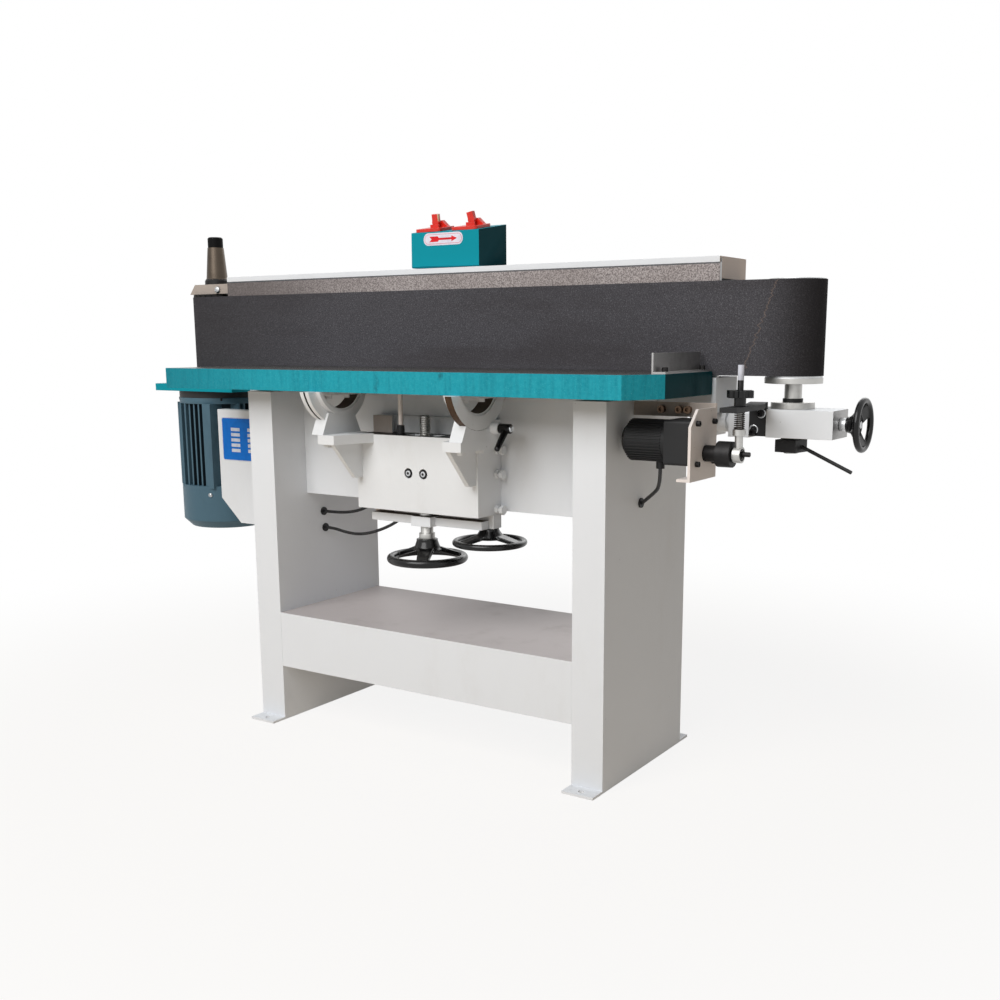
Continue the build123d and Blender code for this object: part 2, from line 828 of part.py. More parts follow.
# Bearings carry the motor shaft at both ends
motor_bearings = [
    ring_z(drive_x, drive_y, z0, z1, motor_bearing_radius, shaft_radius + running_clearance)
    for z0, z1 in (
        (motor_frame_bottom, motor_frame_bottom + motor_end_wall),
        (motor_frame_top, motor_frame_top + motor_end_wall),
    )
]
nodes["motor_frame"] = [motor_frame, *motor_bearings]

fan_bottom = motor_frame_bottom - fan_cover_length
fan_inner = fan_cover_radius - fan_cover_wall
fan_cover = turned([
    (0, fan_bottom), (fan_cover_radius - fan_cover_chamfer, fan_bottom),
    (fan_cover_radius, fan_bottom + fan_cover_chamfer), (fan_cover_radius, motor_frame_bottom),
    (fan_inner, motor_frame_bottom), (fan_inner, fan_bottom + fan_cover_chamfer),
    (fan_inner - fan_cover_chamfer, fan_bottom + fan_cover_wall), (0, fan_bottom + fan_cover_wall),
])
for x, y in spots(fan_hole_count, fan_hole_circle):
    fan_cover -= rod_z(x, y, fan_bottom, fan_bottom + fan_cover_wall, fan_hole_radius)
nodes["fan_cover"] = Pos(drive_x, drive_y, 0) * fan_cover

# Rotor: shaft from the fan up to the spindle, rotor core and fan
fan_z = fan_bottom + fan_floor_gap
spindle_top = spindle_bottom + spindle_length
rotor = rod_z(0, 0, fan_z, spindle_bottom, shaft_radius)
rotor += rod_z(0, 0, spindle_bottom, spindle_top, spindle_bore)
rotor += rod_z(0, 0, motor_frame_bottom + motor_end_wall + rotor_end_gap,
               motor_frame_top - rotor_end_gap, rotor_radius)
rotor += rod_z(0, 0, fan_z, fan_z + fan_thickness, fan_radius)
for index in range(fan_blade_count):
    blade = block(shaft_radius / 2, fan_radius, -fan_thickness / 2, fan_thickness / 2, fan_z,
                  fan_z + fan_blade_height)
    rotor += Rot(0, 0, 360.0 * index / fan_blade_count) * blade
nodes["motor_rotor"] = Pos(drive_x, drive_y, 0) * rotor

# Guard sheet between the left leg and the motor
guard_left = -leg_outer - guard_reach
guard_front = fascia_front + guard_setback
guard_top = beam_bottom - guard_drop
guard_bottom = guard_top - guard_height
guard = plate_y([
    (guard_left, guard_top), (-leg_outer, guard_top), (-leg_outer, guard_bottom),
    (guard_left + guard_cut_x, guard_bottom), (guard_left, guard_bottom + guard_cut_z),
], guard_front, guard_front + guard_sheet)
guard += block(guard_left, -leg_outer, guard_front, guard_front + fold_lip, guard_top - guard_sheet,
               guard_top)
nodes["motor_guard"] = guard

# Drive drum: hub, web and rim, with a rubber tyre grooved at its top edge
drum_core_radius = tyre_radius - tyre_thickness
drum_middle = (drum_bottom + drum_top) / 2
drum = ring_z(0, 0, drum_bottom, drum_top - tyre_groove_depth, drum_core_radius,
              shaft_radius + running_clearance)
for z0, z1 in ((drum_bottom, drum_middle - drum_web / 2), (drum_middle + drum_web / 2, drum_top)):
    drum -= ring_z(0, 0, z0, z1, drum_core_radius - drum_rim, drum_hub_radius)
nodes["drive_drum"] = Pos(drive_x, drive_y, 0) * drum
tyre = ring_z(0, 0, drum_bottom, drum_top, tyre_radius, drum_core_radius + running_clearance)
for index in range(tyre_groove_count):
    groove = Rot(tyre_groove_angle, 0, 0) * Box(2 * tyre_groove_depth, tyre_groove_width, tyre_groove_length)
    tyre -= Rot(0, 0, 360.0 * index / tyre_groove_count) * Pos(tyre_radius, 0, drum_top) * groove
nodes["drum_tyre"] = Pos(drive_x, drive_y, 0) * tyre

# Bearing bracket above the drum, held by the hood's left end plate
bearing_bracket = plate_y([
    (drive_x - bearing_bracket_left, bearing_bracket_bottom), (platen_left, bearing_bracket_bottom),
    (platen_left, bearing_bracket_top), (drive_x - bearing_bracket_left + bearing_bracket_slope,
                                         bearing_bracket_top),
], drive_y - bearing_bracket_half, drive_y + bearing_bracket_half)
bearing_bracket -= rod_z(drive_x, drive_y, bearing_bracket_bottom, bearing_bracket_top,
                         shaft_radius + running_clearance)
nodes["top_bearing_bracket"] = bearing_bracket

# Sanding spindle on the shaft's upper end, under a screwed cap
shoulder_z = spindle_bottom + spindle_flange_height
sleeve = turned([
    (spindle_bore + running_clearance, spindle_bottom), (spindle_flange_radius, spindle_bottom),
    (spindle_flange_radius, shoulder_z), (spindle_base_radius, shoulder_z + spindle_shoulder),
    (spindle_tip_radius, spindle_top), (spindle_bore + running_clearance, spindle_top),
])
cap = rod_z(drive_x, drive_y, spindle_top, spindle_top + spindle_cap_height, spindle_cap_radius)
cap = chamfer(cap.edges().group_by(Axis.Z)[-1], spindle_cap_chamfer)
nodes["sanding_spindle"] = [Pos(drive_x, drive_y, 0) * sleeve, cap]

# Switch box with a sloping lid, on a floor plate with two feet
box_left = switch_box_x - switch_box_width / 2
box_right = switch_box_x + switch_box_width / 2
box_front = pad_front + switch_box_setback
box_back = box_front + switch_box_depth
box_floor = hood_top + switch_foot_height
box_seat = box_floor + switch_box_floor
lid_front = box_floor + switch_box_front_height
lid_back = box_floor + switch_box_rear_height
lid_angle = math.degrees(math.atan2(lid_back - lid_front, switch_box_depth))
switch_cover = plate_x(
    [(box_front, box_seat), (box_back, box_seat), (box_back, lid_back), (box_front, lid_front)],
    box_left, box_right)
switch_cover -= plate_x([
    (box_front + switch_box_wall, box_seat), (box_back - switch_box_wall, box_seat),
    (box_back - switch_box_wall, lid_back - 2 * switch_box_wall),
    (box_front + switch_box_wall, lid_front - switch_box_wall),
], box_left + switch_box_wall, box_right - switch_box_wall)
switch_floor = block(box_left, box_right, box_front, box_back, box_floor, box_seat)
for foot_left in (box_left + switch_foot_inset, box_right - switch_foot_inset - switch_foot_width):
    switch_floor += block(foot_left, foot_left + switch_foot_width, box_front + switch_foot_inset,
                          box_back - switch_foot_inset, hood_top, box_floor)
nodes["switch_box"] = [switch_cover, switch_floor]


# A paddle switch on the lid: flat base with a cheek and a sloping web, and a lever that rocks left and right
# between them
def make_switch(center_x, lean):
    center_y = box_front + switch_setback
    lid_z = lid_front + (lid_back - lid_front) * switch_setback / switch_box_depth
    place = Pos(center_x, center_y, lid_z) * Rot(lid_angle, 0, 0)
    base = block(-switch_base_width / 2, switch_base_width / 2, -switch_base_depth / 2, switch_base_depth / 2,
                 0, switch_base_height)
    base = fillet(base.edges().filter_by(Axis.Z), switch_base_round)
    half_thick = switch_lever_thickness / 2
    gap = half_thick + free_clearance
    base += block(switch_lever_shift - switch_cheek_half, switch_lever_shift + switch_cheek_half,
                  -gap - switch_cheek_thickness, -gap, 0, switch_cheek_height)
    web_right = switch_lever_shift + switch_cheek_half
    base += plate_y([
        (switch_lever_shift - switch_cheek_half, 0), (web_right + switch_web_reach, 0),
        (web_right, switch_web_height), (switch_lever_shift - switch_cheek_half, switch_web_height),
    ], gap, gap + switch_web_thickness)
    base &= block(-switch_base_width / 2, switch_base_width / 2,
                  -switch_base_depth / 2, switch_base_depth / 2, 0, switch_web_height)
    lever = rod_y(0, -half_thick, half_thick, 0, switch_hub_radius)
    lever += block(-switch_lever_width / 2, switch_lever_width / 2, -half_thick, half_thick, 0,
                   switch_lever_height)
    lever = Pos(switch_lever_shift, 0, switch_pivot_height) * Rot(0, lean, 0) * lever
    return place * base, place * lever


switches_x = switch_box_x + switch_center_shift
left_base, left_lever = make_switch(switches_x - switch_spacing / 2, 0.0)
right_base, right_lever = make_switch(switches_x + switch_spacing / 2, switch_right_lean)
nodes["switch_bases"] = [left_base, right_base]
nodes["left_switch"] = left_lever
nodes["right_switch"] = right_lever

# Blank data plate on the guard, and a rounded plate for the belt direction arrow
data_left = guard_left + data_plate_inset_x
data_top = guard_top - data_plate_inset_z
data_plate = block(data_left, data_left + data_plate_width, guard_front - sign_thickness, guard_front,
                   data_top - data_plate_height, data_top)
arrow_x = switch_box_x + arrow_plate_shift
arrow_z = lid_front - arrow_plate_drop
arrow_half = (arrow_plate_length - arrow_plate_height) / 2
arrow_plate = block(arrow_x - arrow_half, arrow_x + arrow_half, box_front - sign_thickness, box_front,
                    arrow_z - arrow_plate_height / 2, arrow_z + arrow_plate_height / 2)
for side in (-1, 1):
    arrow_plate += rod_y(arrow_x + side * arrow_half, box_front - sign_thickness, box_front, arrow_z,
                         arrow_plate_height / 2)
nodes["sign_plates"] = [data_plate, arrow_plate]

# Arm pivot: a bored housing under the beam's right end
housing_left = beam_right - pivot_housing_inset
housing_right = housing_left + pivot_housing_length
pivot_end = housing_right + pivot_boss_length
arm_pivot = block(housing_left, housing_right, idler_y - pivot_housing_depth / 2,
                  idler_y + pivot_housing_depth / 2,
                  beam_bottom - pivot_housing_height, beam_bottom)
arm_pivot += rod_x(housing_right, pivot_end, idler_y, arm_z, pivot_boss_radius) - block(
    housing_right, pivot_end, idler_y - pivot_boss_radius, idler_y + pivot_boss_radius, beam_bottom, beam_top)
arm_pivot -= rod_x(housing_left, pivot_end, idler_y, arm_z, arm_shaft_radius + running_clearance)
nodes["arm_pivot"] = arm_pivot

# Shaft and white block at the root of the arm
arm_front = idler_y - arm_depth / 2
arm_back = idler_y + arm_depth / 2
arm_shaft = rod_x(housing_left, arm_block_left, idler_y, arm_z, arm_shaft_radius)
arm_shaft += block(arm_block_left, clamp_block_left, arm_front, arm_back, arm_z - arm_block_below,
                   arm_z + arm_block_above)
nodes["arm_shaft"] = arm_shaft

# Clamp block with the lever plate that reaches forward over the push rod
clamp_block = block(clamp_block_left, arm_left, arm_front, arm_back, arm_z - clamp_block_below, arm_top)
clamp_block += block(clamp_block_left, arm_left, arm_front, arm_front + lever_seat_depth, arm_top,
                     lever_bottom)
tip_left = rod_x_place - lever_tip_width / 2
tip_right = rod_x_place + lever_tip_width / 2
tip_front = rod_y_place - lever_tip_reach
tip_back = rod_y_place + lever_neck
clamp_block += plate_z([
    (tip_left, tip_front), (tip_right, tip_front), (tip_right, tip_back), (arm_left, arm_front),
    (arm_left, arm_front + lever_seat_depth), (clamp_block_left, arm_front + lever_seat_depth),
    (clamp_block_left, arm_front), (tip_left, tip_back - lever_tip_width / 2),
], lever_bottom, lever_top)
clamp_block -= rod_z(rod_x_place, rod_y_place, lever_bottom, lever_top, rod_radius + running_clearance)
clamp_bolts = []
bolt_x_high = arm_left - clamp_bolt_inset_x
bolt_x_low = clamp_block_left + clamp_bolt_inset_x
for x, z in (
    (bolt_x_high, lever_bottom - clamp_bolt_inset_z),
    (bolt_x_low, arm_z - clamp_block_below + clamp_bolt_low_inset_z),
):
    seat = Plane(origin=(x, arm_front, z), z_dir=(0, -1, 0))
    clamp_bolts.append(socket_screw(seat, clamp_bolt_radius, clamp_bolt_length))
    clamp_block -= screw_hole(seat, clamp_bolt_radius, clamp_bolt_length)
nodes["lever_plate"] = [clamp_block, *clamp_bolts]

# Arm box: slotted above and below for the post's stem, bored at its end for the tension screw
arm_box = block(arm_left, arm_right, arm_front, arm_back, arm_bottom, arm_top)
arm_box -= block(arm_left, arm_right - arm_wall, arm_front + arm_wall, arm_back - arm_wall,
                 arm_bottom + arm_wall, arm_top - arm_wall)
slot_half = stem_radius + free_clearance
arm_box -= block(arm_left + arm_slot_inset, arm_left + arm_slot_inset + arm_slot_length, idler_y - slot_half,
                 idler_y + slot_half, arm_bottom, arm_top)
arm_box -= rod_x(arm_right - arm_wall, arm_right, idler_y, arm_z, tension_screw_radius + running_clearance)
nodes["idler_arm"] = arm_box

# Idler post: stem through the arm, flange, ring, post and the drum's spindle
flange_bottom = arm_top + free_clearance
flange_top = flange_bottom + post_flange_height
ring_top = flange_top + post_ring_height
post_top = ring_top + post_height
idler_bottom = post_top + idler_flange_gap
idler_shell_bottom = idler_bottom + idler_flange_height
idler_top = belt_top + idler_above_belt
spindle_end = idler_top - spindle_top_drop
idler_post = rod_z(idler_x, idler_y, arm_bottom - stem_below, flange_bottom, stem_radius)
idler_post += rod_z(idler_x, idler_y, flange_bottom, flange_top, post_flange_radius)
idler_post += rod_z(idler_x, idler_y, flange_top, ring_top, post_ring_radius)
idler_post += rod_z(idler_x, idler_y, ring_top, post_top, post_radius)
idler_post += rod_z(idler_x, idler_y, post_top, spindle_end, spindle_radius)
idler_post += rod_z(idler_x, idler_y, spindle_end, spindle_end + spindle_nut_height, spindle_nut_radius)
idler_post -= rod_x(idler_x - stem_radius, idler_x + stem_radius, idler_y, arm_z,
                    tension_screw_radius + free_clearance)
nodes["idler_post"] = idler_post

# Idler drum: shell, lower flange and upper web, on two bearings
bearing_seat = idler_bearing_radius + running_clearance
upper_bearing_bottom = idler_top - idler_bearing_drop
idler_drum = ring_z(0, 0, idler_shell_bottom, idler_top, idler_radius, idler_radius - idler_shell)
idler_drum += ring_z(0, 0, idler_bottom, idler_shell_bottom + idler_flange_gap, idler_flange_radius,
                     bearing_seat)
idler_drum += ring_z(0, 0, idler_bottom, idler_bottom + idler_bearing_width, bearing_seat + idler_shell,
                     bearing_seat)
idler_drum += ring_z(0, 0, upper_bearing_bottom, upper_bearing_bottom + idler_web,
                     idler_radius - idler_shell / 2, bearing_seat)
nodes["idler_drum"] = Pos(idler_x, idler_y, 0) * idler_drum
nodes["idler_bearings"] = [
    ring_z(idler_x, idler_y, z0, z0 + idler_bearing_width, idler_bearing_radius,
           spindle_radius + running_clearance)
    for z0 in (idler_bottom, upper_bearing_bottom)
]

# Tension screw with its bush and dished handwheel
wheel_start = arm_right + tension_bush_length
tension_wheel = handwheel(tension_hub_radius, tension_hub_length, tension_rim_radius, tension_rim_tube,
                          tension_rim_reach)
tension_wheel = Pos(wheel_start + tension_hub_length, idler_y, arm_z) * Rot(0, -90, 0) * tension_wheel
tension_wheel += rod_x(wheel_start - tension_screw_length, wheel_start, idler_y, arm_z, tension_screw_radius)
tension_wheel += rod_x(arm_right + free_clearance, wheel_start, idler_y, arm_z, tension_bush_radius)
nodes["tension_handwheel"] = tension_wheel

# Clamp nut under the arm, with its lever rod
nut_top = arm_bottom - clamp_nut_gap
nut_bottom = nut_top - clamp_nut_height
clamp_nut = block(-clamp_nut_size / 2, clamp_nut_size / 2, -clamp_nut_size / 2, clamp_nut_size / 2,
                  nut_bottom, nut_top)
clamp_nut = Pos(idler_x, idler_y, 0) * Rot(0, 0, clamp_nut_turn) * clamp_nut
clamp_nut += rod_z(idler_x, idler_y, nut_top, arm_bottom - free_clearance, clamp_washer_radius)
clamp_nut -= rod_z(idler_x, idler_y, nut_bottom, arm_bottom, stem_radius + running_clearance)
nut_middle = (nut_bottom + nut_top) / 2
clamp_nut += rod_between(
    (idler_x + clamp_nut_size / 2 - clamp_rod_radius, idler_y, nut_middle),
    (idler_x + clamp_rod_reach, idler_y + clamp_rod_back, nut_middle - clamp_rod_drop), clamp_rod_radius)
nodes["clamp_nut"] = clamp_nut

# Folded bracket for the gear motor: face plate, bottom lip and the flange that runs to the leg
osc_front = rod_y_place - osc_bracket_front
osc_back = rod_y_place + osc_bracket_back
osc_bottom = rod_z_place - osc_bracket_below
osc_top = rod_z_place + osc_bracket_above
osc_bracket = plate_x([
    (osc_front, osc_bottom), (osc_back, osc_bottom), (osc_back, osc_top),
    (osc_front + osc_bracket_corner, osc_top), (osc_front, osc_top - osc_bracket_corner),
], osc_plate_left, osc_plate_right)
osc_bracket += block(osc_plate_left - osc_lip, osc_plate_right, osc_front, osc_back, osc_bottom,
                     osc_bottom + osc_bracket_thickness)
flange_high = osc_top + osc_flange_drop
osc_bracket += block(leg_outer, osc_plate_right, osc_back - osc_bracket_thickness, osc_back,
                     flange_high - osc_flange_height, flange_high)
osc_bracket -= rod_x(osc_plate_left, osc_plate_right, rod_y_place, rod_z_place, crank_hub_radius)
flange_run = osc_plate_left - leg_outer
for share in osc_flange_screw_shares:
    seat = Plane(origin=(leg_outer + share * flange_run, osc_back - osc_bracket_thickness,
                         flange_high - osc_flange_height / 2), z_dir=(0, -1, 0))
    stand_screws.append(socket_screw(seat, osc_screw_radius, osc_bracket_thickness))
    osc_bracket -= screw_hole(seat, osc_screw_radius, osc_bracket_thickness)
gear_screw_span = gearbox_size / 2 - gear_screw_inset
for y, z in ((-1, 1), (1, 1), (1, -1), (-1, -1)):
    seat = Plane(origin=(osc_plate_right, gearbox_y + y * gear_screw_span,
                         gearbox_z + z * gear_screw_span), z_dir=(1, 0, 0))
    stand_screws.append(socket_screw(seat, gear_screw_radius, osc_bracket_thickness))
    osc_bracket -= screw_hole(seat, gear_screw_radius, osc_bracket_thickness)
nodes["osc_bracket"] = osc_bracket

# Gear motor: square gearbox behind the bracket and a round finned motor
gearbox = block(gearbox_left, osc_plate_left, gearbox_y - gearbox_size / 2, gearbox_y + gearbox_size / 2,
                gearbox_z - gearbox_size / 2, gearbox_z + gearbox_size / 2)
gearbox = fillet(gearbox.edges().filter_by(Axis.X), gearbox_round)
gearbox -= rod_x(osc_plate_left - output_shaft_depth, osc_plate_left, rod_y_place, rod_z_place,
                 output_shaft_radius + running_clearance)
gear_motor_left = gearbox_left - gear_motor_length
gear_motor = rod_x(gear_motor_left, gearbox_left, gearbox_y, gearbox_z, gear_motor_radius)
gear_motor = chamfer(gear_motor.edges().group_by(Axis.X)[0], gear_motor_nose)
rib = block(gear_motor_left + gear_motor_nose, gearbox_left - gear_motor_band, -gear_motor_rib_width / 2,
            gear_motor_rib_width / 2, 0, gear_motor_rib_radius)
ribs = [
    Pos(0, gearbox_y, gearbox_z) * Rot(360.0 * index / gear_motor_rib_count, 0, 0) * rib
    for index in range(gear_motor_rib_count)
]
gear_motor = gear_motor.fuse(*ribs)
nodes["gear_motor"] = [gear_motor, gearbox]

# Crank: output shaft, hub, disc and an eccentric pin
hub_left = osc_plate_right + crank_gap
disc_left = hub_left + crank_hub_length
crank = rod_x(osc_plate_left - output_shaft_depth, hub_left, rod_y_place, rod_z_place, output_shaft_radius)
crank += rod_x(hub_left, disc_left, rod_y_place, rod_z_place, crank_hub_radius)
crank += rod_x(disc_left, disc_left + crank_disc_length, rod_y_place, rod_z_place, crank_disc_radius)
crank += rod_x(disc_left + crank_disc_length, disc_left + crank_disc_length + crank_pin_length,
               rod_y_place, rod_z_place + crank_throw, crank_pin_radius)
nodes["crank"] = crank

# Push rod: rod end round the crank pin, shank, collar and the rod through the lever plate
rod_collar_bottom = spring_bottom - rod_collar_height
push_rod = rod_x(rod_x_place - rod_end_width / 2, rod_x_place + rod_end_width / 2, rod_y_place,
                 rod_z_place, rod_end_radius)
push_rod += rod_z(rod_x_place, rod_y_place, rod_z_place + rod_end_bore, rod_collar_bottom, rod_shank_radius)
push_rod -= rod_x(rod_x_place - rod_end_width, rod_x_place + rod_end_width, rod_y_place, rod_z_place,
                  rod_end_bore)
push_rod += rod_z(rod_x_place, rod_y_place, rod_collar_bottom, spring_bottom, rod_collar_radius)
push_rod += rod_z(rod_x_place, rod_y_place, spring_bottom, lever_top + rod_above_lever, rod_radius)
nodes["push_rod"] = push_rod


# A biarc joins two points of the helix with two arcs that keep its direction at both ends
def biarc(start, start_way, end, end_way):
    chord = end - start
    ways = start_way + end_way
    a = ways.dot(ways) - 4
    b = -2 * chord.dot(ways)
    c = chord.dot(chord)
    reach = (-b - math.sqrt(b * b - 4 * a * c)) / (2 * a) if a else -c / b
    if reach < 0:
        reach = (-b + math.sqrt(b * b - 4 * a * c)) / (2 * a)
    first = start + start_way * reach
    second = end - end_way * reach
    middle = (first + second) / 2
    return [TangentArc(start, middle, tangent=start_way),
            TangentArc(middle, end, tangent=(second - first).normalized())]


# Coil spring between the collar and the lever plate, as one tube
spring_radius = spring_outer_radius - spring_wire / 2
spring_start = spring_bottom + spring_end_gap + spring_wire / 2
spring_rise = spring_space - 2 * spring_end_gap - spring_wire
spring_steps = 4 * spring_turns


def spring_point(step):
    turn = step * math.pi / 2
    height = spring_start + spring_rise * step / spring_steps
    return Vector(rod_x_place + spring_radius * math.cos(turn),
                  rod_y_place + spring_radius * math.sin(turn), height)


def spring_way(step):
    turn = step * math.pi / 2
    rise = spring_rise / spring_steps / (spring_radius * math.pi / 2)
    return Vector(-math.sin(turn), math.cos(turn), rise).normalized()


first_way = spring_way(0)
last_way = spring_way(spring_steps)
spring_edges = [Line(spring_point(0) - first_way * spring_wire, spring_point(0))]
for step in range(spring_steps):
    spring_edges += biarc(spring_point(step), spring_way(step), spring_point(step + 1), spring_way(step + 1))
spring_edges.append(Line(spring_point(spring_steps), spring_point(spring_steps) + last_way * spring_wire))
spring_path = Wire([edge.edge() for edge in spring_edges])
spring_section = Plane(origin=spring_path @ 0, z_dir=spring_path % 0) * Circle(spring_wire / 2)
rod_spring = sweep(spring_section, path=spring_path)
nodes["rod_spring"] = rod_spring
samples = [spring_path @ (index / spring_samples) for index in range(spring_samples + 1)]
least_gap = min(
    (samples[low] - samples[high]).length
    for low in range(len(samples)) for high in range(low + spring_sample_skip, len(samples))
) - spring_wire
print("rod_spring least gap", round(least_gap, 2), "volume share",
      round(rod_spring.volume / (math.pi * spring_wire ** 2 / 4 * spring_path.length), 3))

# Star knob above the lever plate
knob_z = lever_top + free_clearance
star_knob = rod_z(0, 0, knob_z, knob_z + knob_hub_height, knob_hub_radius)
star_bottom = knob_z + knob_hub_height
star_knob += rod_z(0, 0, star_bottom, star_bottom + knob_height, knob_radius)
for x, y in spots(knob_lobe_count, knob_radius):
    star_knob += rod_z(x, y, star_bottom, star_bottom + knob_height, knob_lobe_radius)
star_knob -= rod_z(0, 0, knob_z, star_bottom + knob_height, rod_radius + running_clearance)
nodes["star_knob"] = Pos(rod_x_place, rod_y_place, 0) * star_knob

# Slideway: back plate and two dovetail bars, with gib screws through the right bar
bar_back = fascia_front - slideway_plate
tongue_wide = tongue_half + tongue_taper
slideway = block(-slideway_half, slideway_half, bar_back, fascia_front, slideway_bottom, slideway_top)
for side in (-1, 1):
    slideway += plate_z([
        (side * slideway_half, slideway_front), (side * slideway_half, bar_back),
        (side * (tongue_wide + tongue_side_gap), bar_back),
        (side * (tongue_half + tongue_side_gap), slideway_front),
    ], slideway_bottom, slideway_top)
lock_x = slideway_half - lock_inset
lock_y = (slideway_front + bar_back) / 2
slideway -= rod_z(lock_x, lock_y, slideway_bottom, slideway_bottom + lock_stud_depth,
                  lock_stud_radius + running_clearance)
for drop in gib_screw_drops:
    gib_z = slideway_top - drop
    seat = Plane(origin=(slideway_half + gib_screw_reach, lock_y, gib_z), z_dir=(1, 0, 0))
    grip = gib_screw_reach + gib_screw_depth
    gib_screw = hex_screw(seat, gib_screw_radius, grip)
    nut = Plane(origin=(slideway_half, lock_y, gib_z), z_dir=(1, 0, 0)) * extrude(
        RegularPolygon(gib_nut_radius, 6), gib_nut_length)
    stand_screws.append(gib_screw + nut)
    slideway -= screw_hole(seat, gib_screw_radius, grip)
nodes["slideway"] = slideway

# Saddle: a deep block with a dovetail tongue, bored out for the lift screw and its nut
saddle = block(-saddle_half, saddle_half, saddle_front, saddle_back, saddle_bottom, saddle_top)
tongue_end = bar_back - tongue_back_gap
tongue_shift = tongue_back_gap * tongue_taper / slideway_bar
saddle += plate_z([
    (-tongue_half + tongue_shift, saddle_back), (tongue_half - tongue_shift, saddle_back),
    (tongue_wide - tongue_shift, tongue_end), (-tongue_wide + tongue_shift, tongue_end),
], saddle_bottom, saddle_top)
saddle -= block(-pocket_half_x, pocket_half_x, lift_y - pocket_half_y, lift_y + pocket_half_y,
                saddle_bottom, saddle_top)
nut_base = saddle_bottom + lift_nut_rise
lift_nut = block(-pocket_half_x, pocket_half_x, lift_y - pocket_half_y, lift_y + pocket_half_y,
                 nut_base, nut_base + lift_nut_height)
lift_nut -= rod_z(0, lift_y, nut_base, nut_base + lift_nut_height, lift_screw_radius + free_clearance)
saddle_screws = []
screw_grip = lift_y - pocket_half_y - saddle_front - saddle_counterbore_depth
for side in (-1, 1):
    screw_z = saddle_top - saddle_screw_drop
    seat = Plane(origin=(side * saddle_screw_x, saddle_front + saddle_counterbore_depth, screw_z),
                 z_dir=(0, -1, 0))
    saddle -= rod_y(side * saddle_screw_x, saddle_front, saddle_front + saddle_counterbore_depth,
                    screw_z, saddle_counterbore)
    saddle -= screw_hole(seat, saddle_screw_radius, screw_grip)
    saddle_screws.append(hex_screw(seat, saddle_screw_radius, screw_grip))
nodes["knee_saddle"] = saddle
nodes["lift_nut"] = lift_nut

# Brackets: a shelf notched round the saddle, and a gusset under it on the saddle's face
bracket_front = tilt_y - bracket_reach_front
bracket_back = tilt_y + bracket_reach_back
table_brackets = []
for side, outer in ((-1, bracket_left_outer), (1, bracket_outer)):
    shelf_edge = [
        (side * bracket_inner, bracket_front), (side * outer, bracket_front), (side * outer, bracket_back),
        (side * saddle_half, bracket_back), (side * saddle_half, saddle_front),
        (side * bracket_root, saddle_front),
    ]
    bracket = plate_z(shelf_edge, bracket_bottom, bracket_top)
    web = [side * gusset_inner, side * (gusset_inner + gusset_thickness)]
    bracket += plate_x([
        (bracket_front + gusset_tip, bracket_bottom), (saddle_front, bracket_bottom),
        (saddle_front, bracket_bottom - gusset_height),
        (saddle_front - gusset_foot, bracket_bottom - gusset_height),
    ], min(web), max(web))
    for index in range(bracket_bolt_count):
        bolt_y = bracket_front + bracket_bolt_front + index * bracket_bolt_spacing
        seat = Plane(origin=(side * (bracket_outer - bracket_bolt_inset), bolt_y, bracket_bottom),
                     z_dir=(0, 0, -1))
        bracket -= screw_hole(seat, bracket_bolt_radius, bracket_thickness)
        saddle_screws.append(hex_screw(seat, bracket_bolt_radius, bracket_thickness))
    table_brackets.append(bracket)
nodes["table_brackets"] = table_brackets
nodes["knee_screws"] = saddle_screws

# Cradles: blocks with a round seat stepped for the trunnions, the right one bored for the tilt clamp
hub_seat = trunnion_radius + free_clearance
flange_seat = trunnion_flange_radius + free_clearance
boss_y = tilt_y + tilt_boss_back
boss_z = tilt_z - tilt_boss_drop
cradles = []
for cradle_x, step_x0, step_x1 in (
    (cradle_left_x, cradle_left_x, cradle_left_x + 2 * trunnion_side_gap + trunnion_flange_left),
    (cradle_right_x, cradle_right_x + cradle_width - 2 * trunnion_side_gap - trunnion_flange_right,
     cradle_right_x + cradle_width),
):
    cradle = plate_x([
        (tilt_y - cradle_half, bracket_top), (tilt_y + cradle_half, bracket_top),
        (tilt_y + cradle_half - cradle_lean, bracket_top + cradle_height),
        (tilt_y - cradle_half + cradle_lean, bracket_top + cradle_height),
    ], cradle_x, cradle_x + cradle_width)
    cradle -= rod_x(cradle_x, cradle_x + cradle_width, tilt_y, tilt_z, hub_seat)
    cradle -= rod_x(step_x0, step_x1, tilt_y, tilt_z, flange_seat)
    cradles.append(cradle)
boss_left = cradle_right_x + cradle_width
boss_right = boss_left + tilt_boss_length
cradles[1] += rod_x(boss_left, boss_right, boss_y, boss_z, tilt_boss_radius)
cradles[1] -= rod_x(cradle_right_x, boss_right, boss_y, boss_z, tilt_stud_radius + running_clearance)
nodes["trunnion_cradles"] = cradles

# Stop rod that the table rests on, with a sleeve at its foot
stop_y = tilt_y + stop_rod_back
stop_rod = rod_z(stop_rod_x, stop_y, saddle_top, table_bottom - free_clearance, stop_rod_radius)
stop_rod += rod_z(stop_rod_x, stop_y, saddle_top, saddle_top + stop_sleeve_height, stop_sleeve_radius)
nodes["stop_rod"] = stop_rod

